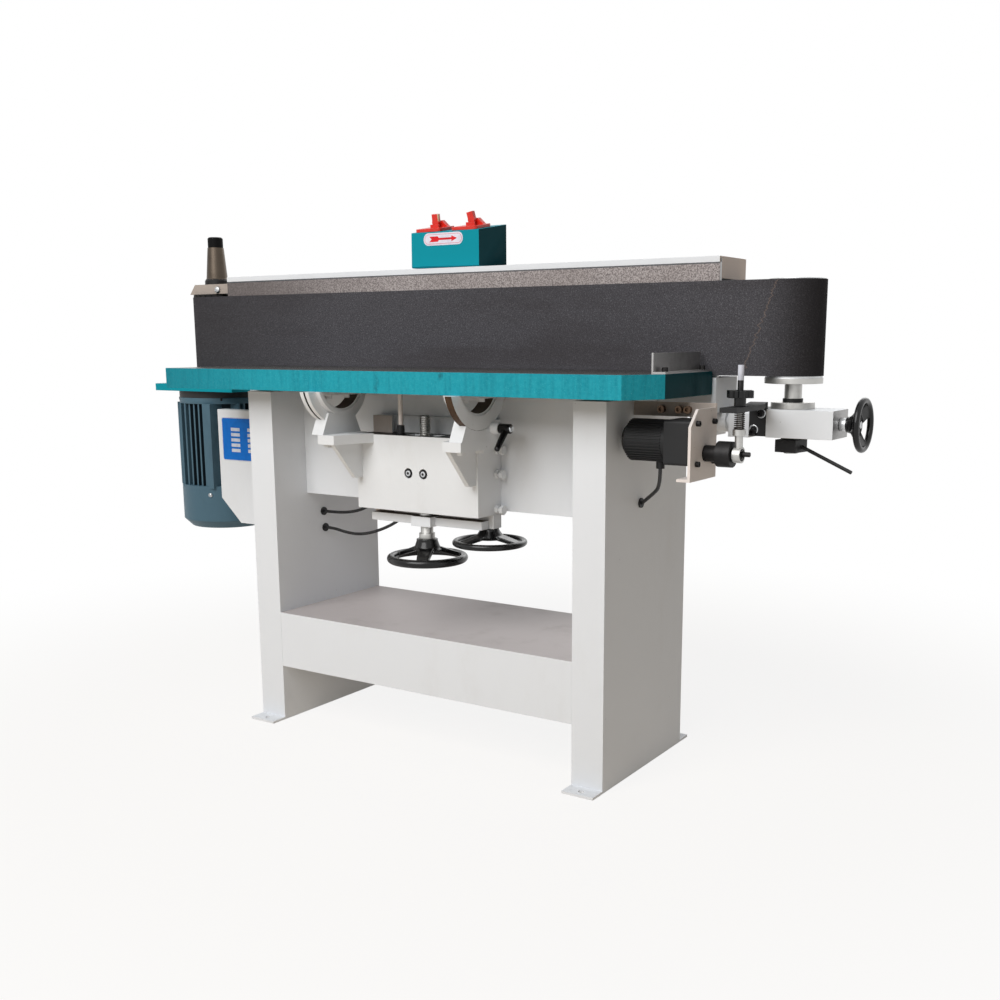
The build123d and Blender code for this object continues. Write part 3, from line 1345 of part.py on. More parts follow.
# Tilt clamp lever: stud in the cradle's boss, hub, and a tapered handle that leans forward
tilt_hub_left = boss_right + free_clearance
tilt_lever = rod_x(cradle_right_x, tilt_hub_left, boss_y, boss_z, tilt_stud_radius)
tilt_lever += rod_x(tilt_hub_left, tilt_hub_left + tilt_hub_length, boss_y, boss_z, tilt_hub_radius)
handle_x = tilt_hub_left + tilt_hub_length - tilt_hub_radius
handle_middle = Pos(0, 0, -tilt_handle_length / 2)
handle = handle_middle * Cone(tilt_handle_end_radius, tilt_handle_radius, tilt_handle_length)
handle += Pos(0, 0, -tilt_handle_length) * Sphere(tilt_handle_end_radius)
tilt_lever += Pos(handle_x, boss_y, boss_z) * Rot(-tilt_handle_lean, 0, 0) * handle
nodes["tilt_lever"] = tilt_lever

# Bearer under the slideway that carries the lift screw
bearer_front = slideway_front - bearer_depth
bearer_top = slideway_bottom + bearer_thickness
boss_bottom = slideway_bottom - bearer_boss_below
boss_top = bearer_top + bearer_boss_above
bearer = block(-bearer_half, bearer_half, bearer_front, slideway_front, slideway_bottom, bearer_top)
bearer += block(-bearer_boss_half, bearer_boss_half, slideway_front - bearer_boss_depth, slideway_front,
                boss_bottom, boss_top)
bearer -= rod_z(0, lift_y, boss_bottom, boss_top, lift_screw_radius + running_clearance)
nodes["screw_bearer"] = bearer

# Lift screw with thrust collar and sleeve, and the handwheel below it
sleeve_top = boss_bottom - free_clearance
sleeve_bottom = sleeve_top - lift_sleeve_length
lift_hub_top = sleeve_bottom - lift_collar_length
lift_hub_bottom = lift_hub_top - lift_hub_length
collar_bottom = boss_top + free_clearance
lift_screw = rod_z(0, lift_y, lift_hub_top, lift_screw_top, lift_screw_radius)
lift_screw += rod_z(0, lift_y, collar_bottom, collar_bottom + thrust_collar_height, thrust_collar_radius)
lift_screw += rod_z(0, lift_y, sleeve_bottom, sleeve_top, lift_sleeve_radius)
lift_screw += rod_z(0, lift_y, lift_hub_top, sleeve_bottom, lift_collar_radius)
nodes["lift_screw"] = lift_screw
lift_wheel = handwheel(lift_hub_radius, lift_hub_length, lift_rim_radius, lift_rim_tube, lift_rim_drop)
nodes["lift_handwheel"] = Pos(0, lift_y, lift_hub_bottom) * lift_wheel

# Lock wheel with its stud in the right dovetail bar
lock_hub_bottom = slideway_bottom - lock_gap - lock_hub_length
lock_wheel = handwheel(lock_hub_radius, lock_hub_length, lock_rim_radius, lock_rim_tube, lock_rim_drop)
lock_wheel += rod_z(0, 0, lock_hub_length, lock_hub_length + lock_gap + lock_stud_depth, lock_stud_radius)
nodes["lock_handwheel"] = Pos(lock_x, lock_y, lock_hub_bottom) * lock_wheel

# Table: ribbed casting with a cut corner, pads over the trunnions and a boss over the stop rod
table_edge = [
    (table_left, table_front), (table_right - table_corner_x, table_front),
    (table_right, table_front + table_corner_y), (table_right, table_back), (table_left, table_back),
]
hollow = extrude(Plane.XY.offset(table_bottom) * offset(Polygon(*table_edge, align=None), -table_skirt),
                 table_thickness - table_skin, dir=(0, 0, 1))
for index in range(table_rib_count):
    rib_x = table_left + table_length * (index + 1) / (table_rib_count + 1)
    hollow -= block(rib_x - table_rib / 2, rib_x + table_rib / 2, table_front, table_back, table_bottom,
                    table_top)
trunnion_spans = (
    (cradle_left_x + trunnion_side_gap, cradle_left_x + cradle_width + trunnion_inner_reach),
    (cradle_right_x - trunnion_inner_reach, cradle_right_x + cradle_width - trunnion_side_gap),
)
for x0, x1 in trunnion_spans:
    hollow -= block(x0, x1, table_front, table_back, table_bottom, table_top)
hollow -= rod_z(stop_rod_x, stop_y, table_bottom, table_top, stop_boss_radius)
work_table = plate_z(table_edge, table_bottom, table_top) - hollow

# Trunnions: hollow half rings that turn in the cradles, each bolted to the table through a top plate
table_trunnions = []
trunnion_bolts = []
for (x0, x1), side in zip(trunnion_spans, (-1, 1)):
    flange = (x0, x0 + trunnion_flange_left) if side < 0 else (x1 - trunnion_flange_right, x1)
    trunnion = rod_x(x0, x1, tilt_y, tilt_z, trunnion_radius)
    trunnion += rod_x(flange[0], flange[1], tilt_y, tilt_z, trunnion_flange_radius)
    if side < 0:
        middle = (flange[0] + flange[1]) / 2
        groove = rod_x(middle - trunnion_groove_width / 2, middle + trunnion_groove_width / 2, tilt_y, tilt_z,
                       trunnion_flange_radius)
        groove -= rod_x(x0, x1, tilt_y, tilt_z, trunnion_flange_radius - trunnion_groove_depth)
        trunnion -= groove
    trunnion -= rod_x(x0, x1, tilt_y, tilt_z, trunnion_bore_radius)
    trunnion -= rod_x(x1 - trunnion_lip_depth, x1, tilt_y, tilt_z, trunnion_lip_radius)
    plate_bottom = table_bottom - trunnion_plate
    trunnion += block(x0, x1 - trunnion_lip_depth, tilt_y - trunnion_bore_radius,
                      tilt_y + trunnion_bore_radius,
                      plate_bottom, table_bottom)
    trunnion &= block(x0, x1, tilt_y - trunnion_flange_radius, tilt_y + trunnion_flange_radius,
                      tilt_z - trunnion_flange_radius, table_bottom)
    for end in (-1, 1):
        seat = Plane(origin=((x0 + x1) / 2, tilt_y + end * trunnion_bolt_spread, plate_bottom),
                     z_dir=(0, 0, -1))
        trunnion -= screw_hole(seat, trunnion_bolt_radius, trunnion_plate)
        work_table -= screw_hole(seat, trunnion_bolt_radius, trunnion_bolt_grip)
        trunnion_bolts.append(hex_screw(seat, trunnion_bolt_radius, trunnion_bolt_grip))
    table_trunnions.append(trunnion)
nodes["table_trunnions"] = [*table_trunnions, *trunnion_bolts]

# Steel stop angle on the table's right end, held by two screws
angle_left = table_right - angle_leg_width
angle_back = table_back - angle_back_inset
angle_front = angle_back - angle_length
stop_angle = block(angle_left, angle_left + angle_thickness, angle_front, angle_back, table_top,
                   table_top + angle_leg_height)
stop_angle += block(angle_left, table_right, angle_front, angle_back, table_top, table_top + angle_thickness)
angle_screws = []
for y in (angle_front + angle_screw_inset, angle_back - angle_screw_back_inset):
    seat = Plane(origin=(angle_left + angle_leg_width / 2, y, table_top + angle_thickness), z_dir=(0, 0, 1))
    stop_angle -= screw_hole(seat, angle_screw_radius, angle_thickness)
    angle_screws.append(socket_screw(seat, angle_screw_radius, angle_thickness))
nodes["work_table"] = work_table
nodes["stop_angle"] = [stop_angle, *angle_screws]

# Control box behind the fascia, with glands under it, and a gland under the gear motor
control_front = fascia_front + sheet
control_back = control_front + control_box_depth
control_box = block(control_left, control_right, control_front, control_back, control_bottom, control_top)
control_box -= block(control_left + control_box_wall, control_right - control_box_wall, control_front,
                     control_back - control_box_wall, control_bottom + control_box_wall,
                     control_top - control_box_wall)
nodes["control_box"] = control_box
glands = grommets
for lead in (motor_lead_points, control_lead_points):
    glands.append(rod_z(lead[-1][0], lead[-1][1], lead[-1][2], control_bottom, gland_radius))
gear_gland = rod_z(gear_lead_points[0][0], gear_lead_points[0][1], gear_lead_points[0][2], gearbox_z,
                   gland_radius)
glands.append(gear_gland - rod_x(gear_motor_left, gearbox_left, gearbox_y, gearbox_z, gear_motor_rib_radius))
nodes["cable_glands"] = glands
nodes["stand_screws"] = stand_screws


# A lead is a round tube along straight runs joined by tangent arcs, each as large as its runs allow
def make_lead(name, points):
    runs = [Vector(*end) - Vector(*start) for start, end in zip(points, points[1:])]
    radii = []
    for before, after in zip(runs, runs[1:]):
        turn = math.radians(before.get_angle(after))
        radii.append(lead_arc_share * min(before.length, after.length) / math.tan(turn / 2))
    path = FilletPolyline(*points, radius=radii)
    section = Plane(origin=path @ 0, z_dir=path % 0) * Circle(lead_radius)
    lead = sweep(section, path=path)
    share = lead.volume / (math.pi * lead_radius ** 2 * path.length)
    print(name, "length", round(path.length, 1), "radii", [round(radius) for radius in radii], "share",
          round(share, 3))
    return lead


nodes["motor_cable"] = make_lead("motor_cable", motor_lead_points)
nodes["control_cable"] = make_lead("control_cable", control_lead_points)


# The gear motor's lead meets its grommet at a slant, so it is made too long and cut flush with the lip
lead_corner, lead_end = Vector(*gear_lead_points[-2]), Vector(*gear_lead_points[-1])
slant_end = lead_end + (lead_end - lead_corner).normalized() * gear_lead_overrun
gear_lead = make_lead("gear_motor_cable", [*gear_lead_points[:-1], tuple(slant_end)])
gear_lead -= block(leg_inner, leg_outer + grommet_thickness,
                   lead_end.Y - grommet_lip, lead_end.Y + grommet_lip,
                   lead_end.Z - grommet_lip, lead_end.Z + grommet_lip)
nodes["gear_motor_cable"] = gear_lead

os.makedirs("parts", exist_ok=True)
for name, shape in nodes.items():
    pieces = shape if isinstance(shape, list) else [shape]
    solids = [solid for piece in pieces for solid in piece.solids()]
    export_step(solids[0] if len(solids) == 1 else Compound(solids), f"parts/{name}.step")
    print(name, len(solids))
print("nodes", len(nodes))
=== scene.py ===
# %% [markdown]
# # An edge sander, dressed
#
# The machine is a floor-standing edge sander: a wide abrasive belt runs upright round two drums, past a long
# table that lifts and tilts. The CAD model already has every working part at its real size, so this script
# loads it as a fixed frame and works on how it looks: rounded edges, paint, steel, abrasive and wear.

# %% Load the frame
import json
import math

import bmesh
import bpy
from mathutils import Matrix, Vector


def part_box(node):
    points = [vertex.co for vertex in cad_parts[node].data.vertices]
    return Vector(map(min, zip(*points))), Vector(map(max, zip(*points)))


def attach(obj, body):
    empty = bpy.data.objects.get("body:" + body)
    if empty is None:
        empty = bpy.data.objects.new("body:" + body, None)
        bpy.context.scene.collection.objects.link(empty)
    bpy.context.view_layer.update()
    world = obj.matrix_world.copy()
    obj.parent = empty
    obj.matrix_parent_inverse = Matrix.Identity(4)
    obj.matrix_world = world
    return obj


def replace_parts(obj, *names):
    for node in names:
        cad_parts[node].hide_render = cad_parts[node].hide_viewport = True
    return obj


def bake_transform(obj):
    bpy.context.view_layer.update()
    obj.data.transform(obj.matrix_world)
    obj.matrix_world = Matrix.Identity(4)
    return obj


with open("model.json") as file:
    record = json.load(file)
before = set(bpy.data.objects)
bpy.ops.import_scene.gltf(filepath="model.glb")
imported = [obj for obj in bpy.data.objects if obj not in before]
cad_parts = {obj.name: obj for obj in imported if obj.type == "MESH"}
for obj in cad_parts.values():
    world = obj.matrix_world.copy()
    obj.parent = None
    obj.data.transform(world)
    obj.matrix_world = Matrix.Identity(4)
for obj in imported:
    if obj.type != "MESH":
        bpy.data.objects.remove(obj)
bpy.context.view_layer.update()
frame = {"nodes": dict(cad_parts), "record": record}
body_of_node = {n: b for b, ns in frame["record"]["behaviour"]["bodies"].items() for n in ns}
slot_of_node = {s["node"]: s["material_slot"] for s in frame["record"]["subparts"]}
mm = 0.001

# %% [markdown]
# ## The photographer's place
#
# A camera can be moved by eye until it looks right, or worked out from the lines of the machine. The second way
# is used here: the stand's edges give the height, the turn and the focal length, and the shift keeps the
# uprights in their place in the frame without tilting the camera any further.

# %% Camera
def put_in_scene(name, data):
    """A new object for a camera, lamp, curve or mesh, linked into the scene."""
    made = bpy.data.objects.new(name, data)
    bpy.context.collection.objects.link(made)
    return made


camera_place = Vector((1.6767, -2.3173, 0.9917))
camera_turn = math.radians(32.89)
camera_dip = math.radians(-11.1)
camera_roll = math.radians(0.21)
forward = Vector((-math.sin(camera_turn) * math.cos(camera_dip), math.cos(camera_turn) * math.cos(camera_dip),
                  math.sin(camera_dip)))
sideways = forward.cross(Vector((0, 0, 1))).normalized()
upward = sideways.cross(forward)
camera_data = bpy.data.cameras.new("photo_camera")
camera_data.lens = 41.48
camera_data.sensor_width = 36.0
camera_data.shift_x = -0.0209
camera_data.shift_y = 0.0643
camera = put_in_scene("photo_camera", camera_data)
axes = Matrix((sideways, upward, -forward)).transposed()
axes = Matrix.Rotation(camera_roll, 3, forward) @ axes
camera.matrix_world = Matrix.Translation(camera_place) @ axes.to_4x4()
bpy.context.scene.camera = camera
bpy.context.scene.view_settings.view_transform = "Standard"
print("camera:", [round(v, 3) for v in camera.location])

# %% [markdown]
# ## Working by hand, in code
#
# Operators act on whatever is selected. These helpers select one piece, go into edit mode, pick faces, edges or
# points by where they are, and apply a modifier, which is what a modeller does with the mouse.

# %% Hand tools
weld_gap = 0.01 * mm


def let_go():
    """Leave edit mode with nothing selected."""
    if bpy.context.object and bpy.context.object.mode != "OBJECT":
        bpy.ops.object.mode_set(mode="OBJECT")
    bpy.ops.object.select_all(action="DESELECT")


def select_only(*pieces):
    """Select just these pieces, the last one active."""
    let_go()
    for piece in pieces:
        piece.select_set(True)
    bpy.context.view_layer.objects.active = pieces[-1]


def edit(piece, kind="FACE", action="DESELECT"):
    """Go into edit mode on one piece, with nothing or everything selected."""
    select_only(piece)
    bpy.ops.object.mode_set(mode="EDIT")
    bpy.ops.mesh.select_mode(type=kind)
    bpy.ops.mesh.select_all(action=action)


def pick(test, kind="FACE"):
    """In edit mode, select the faces, edges or points whose middle passes the test."""
    data = bpy.context.object.data
    mesh = bmesh.from_edit_mesh(data)
    bpy.ops.mesh.select_mode(type=kind)
    bpy.ops.mesh.select_all(action="DESELECT")
    parts, middle = {
        "FACE": (mesh.faces, lambda part: part.calc_center_median()),
        "EDGE": (mesh.edges, lambda part: (part.verts[0].co + part.verts[1].co) / 2),
        "VERT": (mesh.verts, lambda part: part.co)}[kind]
    for part in parts:
        if test(middle(part), part):
            part.select_set(True)
    mesh.select_flush_mode()
    bmesh.update_edit_mesh(data)


def apply_modifier(piece, kind, **settings):
    """Add a modifier with its settings and apply it."""
    select_only(piece)
    added = piece.modifiers.new(kind.lower(), kind)
    for key, value in settings.items():
        setattr(added, key, value)
    bpy.ops.object.modifier_apply(modifier=added.name)


def fresh(name):
    """The piece that was just made, under its own name."""
    bpy.context.object.name = name
    return bpy.context.object


def join(name, *pieces):
    """Join pieces into the last one and name it."""
    select_only(*pieces)
    bpy.ops.object.join()
    return fresh(name)


def copy_of(piece, name):
    """A copy of a piece with its own mesh."""
    select_only(piece)
    bpy.ops.object.duplicate()
    return fresh(name)


def move(x, y, z):
    """In edit mode, shift what is selected."""
    bpy.ops.transform.translate(value=(x, y, z))


def merge():
    """In edit mode, weld what is selected and turn its faces outwards."""
    bpy.ops.mesh.remove_doubles(threshold=weld_gap)
    bpy.ops.mesh.normals_make_consistent(inside=False)


def settle():
    """Put the place, turn and size of what is selected into its mesh."""
    bpy.ops.object.transform_apply(location=True, rotation=True, scale=True)


def seat(piece, body, slot, finish, *stands_for, smooth=35):
    """Finish a piece: its place goes into its mesh, then it gets its finish, its body and its CAD nodes."""
    select_only(piece)
    settle()
    if finish:
        piece.data.materials.clear()
        piece.data.materials.append(finish)
    bpy.ops.object.shade_smooth_by_angle(angle=math.radians(smooth))
    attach(piece, body)
    if stands_for:
        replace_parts(piece, *stands_for)
    return piece


print("hand tools ready")

# %% [markdown]
# ## Shader sums
#
# A finish is made from noise and a little arithmetic. One small class wraps a shader socket, so that 1 - mask
# adds the Math node that it stands for, and one method adds any other node: its settings first, then its sockets.

# %% Wire
class Wire:
    """A shader socket that takes part in plain arithmetic."""

    def __init__(self, socket):
        self.socket = socket
        self.tree = socket.id_data

    def node(self, kind, settings, sockets, out=0):
        made = self.tree.nodes.new("ShaderNode" + kind)
        for key, value in settings.items():
            setattr(made, key, value)
        for key, value in sockets.items():
            if isinstance(value, Wire):
                self.tree.links.new(value.socket, made.inputs[key])
            else:
                made.inputs[key].default_value = value
        return Wire(made.outputs[out]) if len(made.outputs) else None

    def math(self, operation, first, second):
        return self.node("Math", {"operation": operation}, {0: first, 1: second})

    def __add__(self, other):
        return self.math("ADD", self, other)

    def __sub__(self, other):
        return self.math("SUBTRACT", self, other)

    def __rsub__(self, other):
        return self.math("SUBTRACT", other, self)

    def __mul__(self, other):
        return self.math("MULTIPLY", self, other)

    __radd__ = __add__
    __rmul__ = __mul__

    def noise(self, scale, detail=2.0, rough=0.5):
        return self.node("TexNoise", {}, {"Vector": self, "Scale": scale, "Detail": detail, "Roughness": rough})

    def cells(self, scale):
        return self.node("TexVoronoi", {"feature": "SMOOTH_F1"}, {"Vector": self, "Scale": scale})

    def stretched(self, x, y, z):
        return self.node("Mapping", {}, {"Vector": self, "Scale": (x, y, z)})

    def step(self, low, high):
        sockets = {"Value": self, "From Min": low, "From Max": high}
        return self.node("MapRange", {"interpolation_type": "SMOOTHSTEP"}, sockets)

    def mix(self, low, high):
        """Where this mask is 0 the first colour shows, and where it is 1 the second; a triple is a screen colour."""
        low, high = (color if isinstance(color, Wire) else tint(*color) for color in (low, high))
        return self.node("Mix", {"data_type": "RGBA"}, {0: self, 6: low, 7: high}, out=2)

    def axis(self, number):
        return self.node("SeparateXYZ", {}, {"Vector": self}, out=number)


def tint(red, green, blue):
    """A screen colour as the linear colour that a shader takes."""
    linear = [v / 255 / 12.92 if v <= 10 else ((v / 255 + 0.055) / 1.055) ** 2.4 for v in (red, green, blue)]
    return (*linear, 1.0)


def new_finish(name):
    """A bare material, and the place on the piece as a wire to build on."""
    material = bpy.data.materials.new(name)
    material.use_nodes = True
    material.node_tree.nodes.clear()
    coordinates = material.node_tree.nodes.new("ShaderNodeTexCoord")
    return material, Wire(coordinates.outputs["Object"])


def surface(place, color, roughness, height, depth, shine=0.5, metallic=0.0):
    """Join colour, roughness and height to one shader and its output."""
    bump = place.node("Bump", {}, {"Height": height, "Distance": depth})
    shader = place.node("BsdfPrincipled", {}, {"Base Color": color, "Roughness": roughness, "Normal": bump,
                                               "Specular IOR Level": shine, "Metallic": metallic})
    place.node("OutputMaterial", {}, {"Surface": shader})


print("shader sums ready")

# %% [markdown]
# ## Floor and light
#
# The machine stands on a plain pale floor in soft light. One wide lamp high in front gives the bright fronts
# and the shade under the table, a weak one behind keeps the back readable, and the pale world fills the rest.
# For the camera the floor and the world are white, and the floor still takes the machine's shadow.

# %% Floor, world and lamps
floor_size, floor_drop = 40, 0.4 * mm
near_white, near_edge, far_edge = 0.86, 0.9, 2.6
world_fill = 0.19


def in_view(wire):
    """1 for the rays that make the picture and 0 for those that only bring light."""
    seen = wire.node("LightPath", {}, {}, out="Is Camera Ray")
    for way in ("Is Glossy Ray", "Is Transmission Ray"):
        seen = seen + wire.node("LightPath", {}, {}, out=way)
    return seen.math("MINIMUM", seen, 1.0)


let_go()
bpy.ops.mesh.primitive_grid_add(x_subdivisions=2, y_subdivisions=2, size=floor_size, location=(0, 0, -floor_drop))
floor = fresh("floor")
floor_finish, floor_place = new_finish("pale_floor")
matt = floor_place.node("BsdfDiffuse", {}, {"Color": tint(228, 216, 200)})
white = floor_place.node("Emission", {}, {"Color": (1, 1, 1, 1), "Strength": 1.0})
distance = floor_place.node("VectorMath", {"operation": "LENGTH"}, {0: floor_place}, out="Value")
whiteness = in_view(floor_place) * (near_white + distance.step(near_edge, far_edge) * (1 - near_white))
floor_look = floor_place.node("MixShader", {}, {0: whiteness, 1: matt, 2: white})
floor_place.node("OutputMaterial", {}, {"Surface": floor_look})
floor.data.materials.append(floor_finish)

world = bpy.data.worlds.new("studio")
bpy.context.scene.world = world
world.use_nodes = True
world.node_tree.nodes.clear()
sky = Wire(world.node_tree.nodes.new("ShaderNodeTexCoord").outputs["Object"])
strength = in_view(sky) * (1 - world_fill) + world_fill
background = sky.node("Background", {}, {"Color": (1, 1, 1, 1), "Strength": strength})
sky.node("OutputWorld", {}, {"Surface": background})


def lamp(name, place, target, width, height, power):
    """A soft panel lamp that looks at a point."""
    data = bpy.data.lights.new(name, "AREA")
    data.shape = "RECTANGLE"
    data.size = width
    data.size_y = height
    data.energy = power
    made = put_in_scene(name, data)
    made.location = place
    made.rotation_euler = (Vector(target) - Vector(place)).to_track_quat("-Z", "Y").to_euler()


lamp("key_panel", (-0.1, -4.4, 4.2), (0, 0, 0.75), 4.0, 4.0, 280)
lamp("back_panel", (-0.4, 4.6, 3.2), (0, 0, 0.8), 4.0, 3.0, 60)
print("floor, world and two lamps ready")

# %% [markdown]
# ## Leads
#
# Three black leads hang under the machine: two leave the left leg and rise to the control box behind the fascia,
# and one drops from the gear motor and goes back into the right leg. A lead is one smooth line, so each is a
# curve whose control points are the route, with a round bevel for its thickness.

# %% Lead routes and curves
lead_diameter = 8 * mm
lead_routes = {
    "motor_cable": [(-436, -23, 537), (-408, -23, 537), (-368, -24, 538.5), (-326, -27, 545), (-289, -32, 556),
                    (-257, -36.5, 574), (-238.5, -39.5, 605), (-238.5, -39.5, 632)],
    "control_cable": [(-436, -19, 492.5), (-408, -19, 492.5), (-366, -21, 485.5), (-322, -25, 484),
                      (-278, -28, 491), (-238, -31, 503.5), (-200, -34, 519), (-162, -37, 540),
                      (-130, -39, 569), (-110, -40, 604), (-110, -40, 632)],
    "gear_motor_cable": [(612, -130, 722), (612, -130, 703.8), (606.5, -124.2, 685), (596.3, -113.5, 670.8),
                         (521.4, -35.3, 629.9)],
}
lead_finish, place = new_finish("lead_sheath")
scuff = place.noise(160, 3)
surface(place, scuff.step(0.35, 0.8).mix((22, 22, 23), (46, 45, 45)), 0.42 + scuff * 0.2,
        place.noise(900, 1), 0.02 * mm)


def lead(node):
    """A lead as a NURBS curve along its route."""
    curve = bpy.data.curves.new(node + "_lead", "CURVE")
    curve.dimensions = "3D"
    curve.bevel_depth = lead_diameter / 2
    curve.bevel_resolution = 6
    curve.resolution_u = 12
    curve.use_fill_caps = True
    line = curve.splines.new("NURBS")
    line.points.add(len(lead_routes[node]) - 1)
    for point, place_mm in zip(line.points, lead_routes[node]):
        point.co = (*(v * mm for v in place_mm), 1.0)
    line.order_u = 3
    line.use_endpoint_u = True
    piece = put_in_scene(node + "_lead", curve)
    curve.materials.append(lead_finish)
    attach(piece, "stand")
    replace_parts(piece, node)


for node in lead_routes:
    lead(node)

# %% [markdown]
# ## Painted finishes
#
# Most of the machine is enamelled: off-white sheet and castings, teal on the table and the switch box, slate on
# the motor and satin black on the gear motor. One recipe covers them all. Slow noise shifts the tone, finer noise
# gives the orange peel, a few patches hold grime and a few specks are chipped, each at the scale of the real coat.

# %% Enamel recipe
def enamel(name, color, grime, gloss=0.36, peel=240, depth=0.05, patches=0.3, chips=0.0, shine=0.22):
    """Paint with uneven tone, orange peel, patches of grime and chipped specks."""
    material, place = new_finish(name)
    drift = place.noise(2.3, 3)
    smear = place.stretched(1, 1, 0.35).noise(7, 6, 0.68)
    rub = smear.step(0.52, 0.74) * patches
    tone = (drift * 0.16).mix(color, grime)
    tone = rub.mix(tone, grime)
    if chips:
        speck = place.noise(95, 3, 0.7).step(0.735, 0.76) * chips
        tone = speck.mix(tone, (70, 66, 60))
    roughness = gloss + rub * 0.25 + place.noise(34, 3) * 0.1
    surface(place, tone, roughness, place.noise(peel, 2), depth * mm, shine)
    return material


stand_white = enamel("stand_white", (229, 232, 236), (204, 202, 198), patches=0.14, chips=0.5)
# painted shade: a darker, warmer grey for the shelf's top, which lies in shade
shelf_top_shade = enamel("shelf_top_shade", (184, 177, 176), (156, 149, 146), gloss=0.45, patches=0.35)
warm_white = enamel("bracket_white", (234, 226, 221), (194, 182, 175), chips=0.7)
# painted reflection: a warmer white for the hood's right end, standing in for warm light reflected onto it
hood_end_warm_reflection = enamel("hood_end_warm_reflection", (240, 222, 208), (204, 184, 168), patches=0.2)
cast_white = enamel("casting_white", (229, 231, 233), (190, 187, 181), gloss=0.45, peel=110, depth=0.22, patches=0.16,
                    chips=0.6)
# a darker warm grey: painted shade on white-painted brackets, and the bare front of the slideway's left way
shade_and_bare_grey = enamel("shade_and_bare_grey", (178, 167, 158), (120, 110, 102), patches=0.4)
# a dark casting grey: the table's bare underside, and painted shade on the bearer's top and inside the trunnion bores
bare_casting_and_shade = enamel("bare_casting_and_shade", (88, 80, 72), (56, 50, 45), gloss=0.6, peel=110, depth=0.25, shine=0.1)
# painted shade: a dark teal for the right-facing sides of the table and the switch box
teal_side_shade = enamel("teal_side_shade", (10, 64, 71), (8, 34, 38), gloss=0.4, patches=0.6, shine=0.03)
box_teal = enamel("box_teal", (18, 146, 162), (15, 118, 132), peel=300, patches=0.1, shine=0.06)
# painted shade: a dark slate for the grooves between the motor's fins
slate_groove_shade = enamel("groove_shade_slate", (30, 43, 51), (18, 25, 30), gloss=0.6, shine=0.1)
slate = enamel("motor_slate", (75, 104, 119), (47, 65, 76), gloss=0.42, peel=150, depth=0.16, patches=0.4, chips=0.5)
satin_black = enamel("satin_black", (22, 22, 23), (42, 41, 40), gloss=0.5, peel=420, depth=0.06, patches=0.35,
                     shine=0.35)
print("enamels:", stand_white.name, cast_white.name, box_teal.name, slate.name, satin_black.name)

# %% [markdown]
# ## Hammered teal
#
# The table's edge has a thick hammered coat: shallow dimples, runs that dried on their way down and a few dark
# scuffs from stock dragged over it. The dimples are soft cells in the height; the runs are noise drawn out in Z.

# %% Table coat
hammer_teal, place = new_finish("hammer_teal")
dimples = place.cells(150)
runs = place.stretched(1, 1, 0.07).noise(85, 3, 0.6)
scuffs = place.stretched(1.6, 1, 0.5).noise(9, 6, 0.72)
pits = place.noise(130, 3, 0.7).step(0.72, 0.76)
tone = (runs.step(0.35, 0.75) * 0.7).mix((28, 149, 166), (15, 122, 139))
tone = (dimples * 0.35).mix(tone, (60, 178, 191))
tone = (scuffs.step(0.64, 0.76) * 0.75).mix(tone, (24, 74, 84))
tone = (pits * 0.6).mix(tone, (20, 60, 68))
# pale specks stand in for glints off the hammered coat: painted highlights
painted_glints = place.noise(480, 2, 0.7).step(0.62, 0.7) * 0.5
tone = painted_glints.mix(tone, (96, 196, 207))
far_left = 1 - place.axis(0).step(-0.75, -0.25)
tone = (far_left * 0.5).mix(tone, (4, 98, 112))
surface(place, tone, 0.3 + scuffs * 0.22, dimples + runs * 1.4 + place.noise(700, 1) * 0.2, 0.5 * mm, shine=0.12)
print("hammered coat:", hammer_teal.name)

# %% [markdown]
# ## Bare metals
#
# Ground, turned and plated steel differ by their marks. Turned parts have fine rings across their axis, ground
# faces have long strokes, and plated screws are cloudy. The marks go into roughness and a slight bump.

# %% Metal recipe
def metal(name, color, stain, gloss=0.3, strokes=(1, 1, 1), scale=300, depth=0.02, stains=0.3):
    """Metal with strokes in one direction, cloudy tone and stains."""
    material, place = new_finish(name)
    stroke = place.stretched(*strokes).noise(scale, 3, 0.6)
    cloud = place.noise(26, 4, 0.6)
    tone = (stroke * 0.25).mix(color, stain)
    tone = (cloud.step(0.5, 0.75) * stains).mix(tone, stain)
    surface(place, tone, gloss + stroke * 0.12 + cloud * 0.1, stroke, depth * mm, metallic=1.0)
    return material


turned_steel = metal("turned_steel", (196, 195, 192), (118, 112, 104), strokes=(0.04, 0.04, 1), scale=700)
ground_iron = metal("ground_iron", (128, 126, 124), (82, 79, 76), gloss=0.17, strokes=(0.05, 1, 1), scale=420)
ground_steel = metal("ground_steel", (176, 175, 174), (104, 99, 95), strokes=(1, 0.06, 1), scale=500)
zinc = metal("zinc_plate", (206, 208, 210), (150, 146, 140), gloss=0.26, scale=90, stains=0.25)
black_oxide = metal("black_oxide", (52, 51, 51), (26, 25, 25), gloss=0.38, scale=140, stains=0.5)
# painted reflection: the spindle's steel is darker than bare steel, standing in for dark surroundings it reflects
spindle_steel_dark_reflection = metal("spindle_steel_dark_reflection", (88, 79, 70), (46, 40, 34), strokes=(0.05, 0.05, 1), scale=600)
aluminium = metal("aluminium", (206, 207, 208), (150, 148, 146), gloss=0.34, strokes=(0.04, 0.04, 1), scale=650)
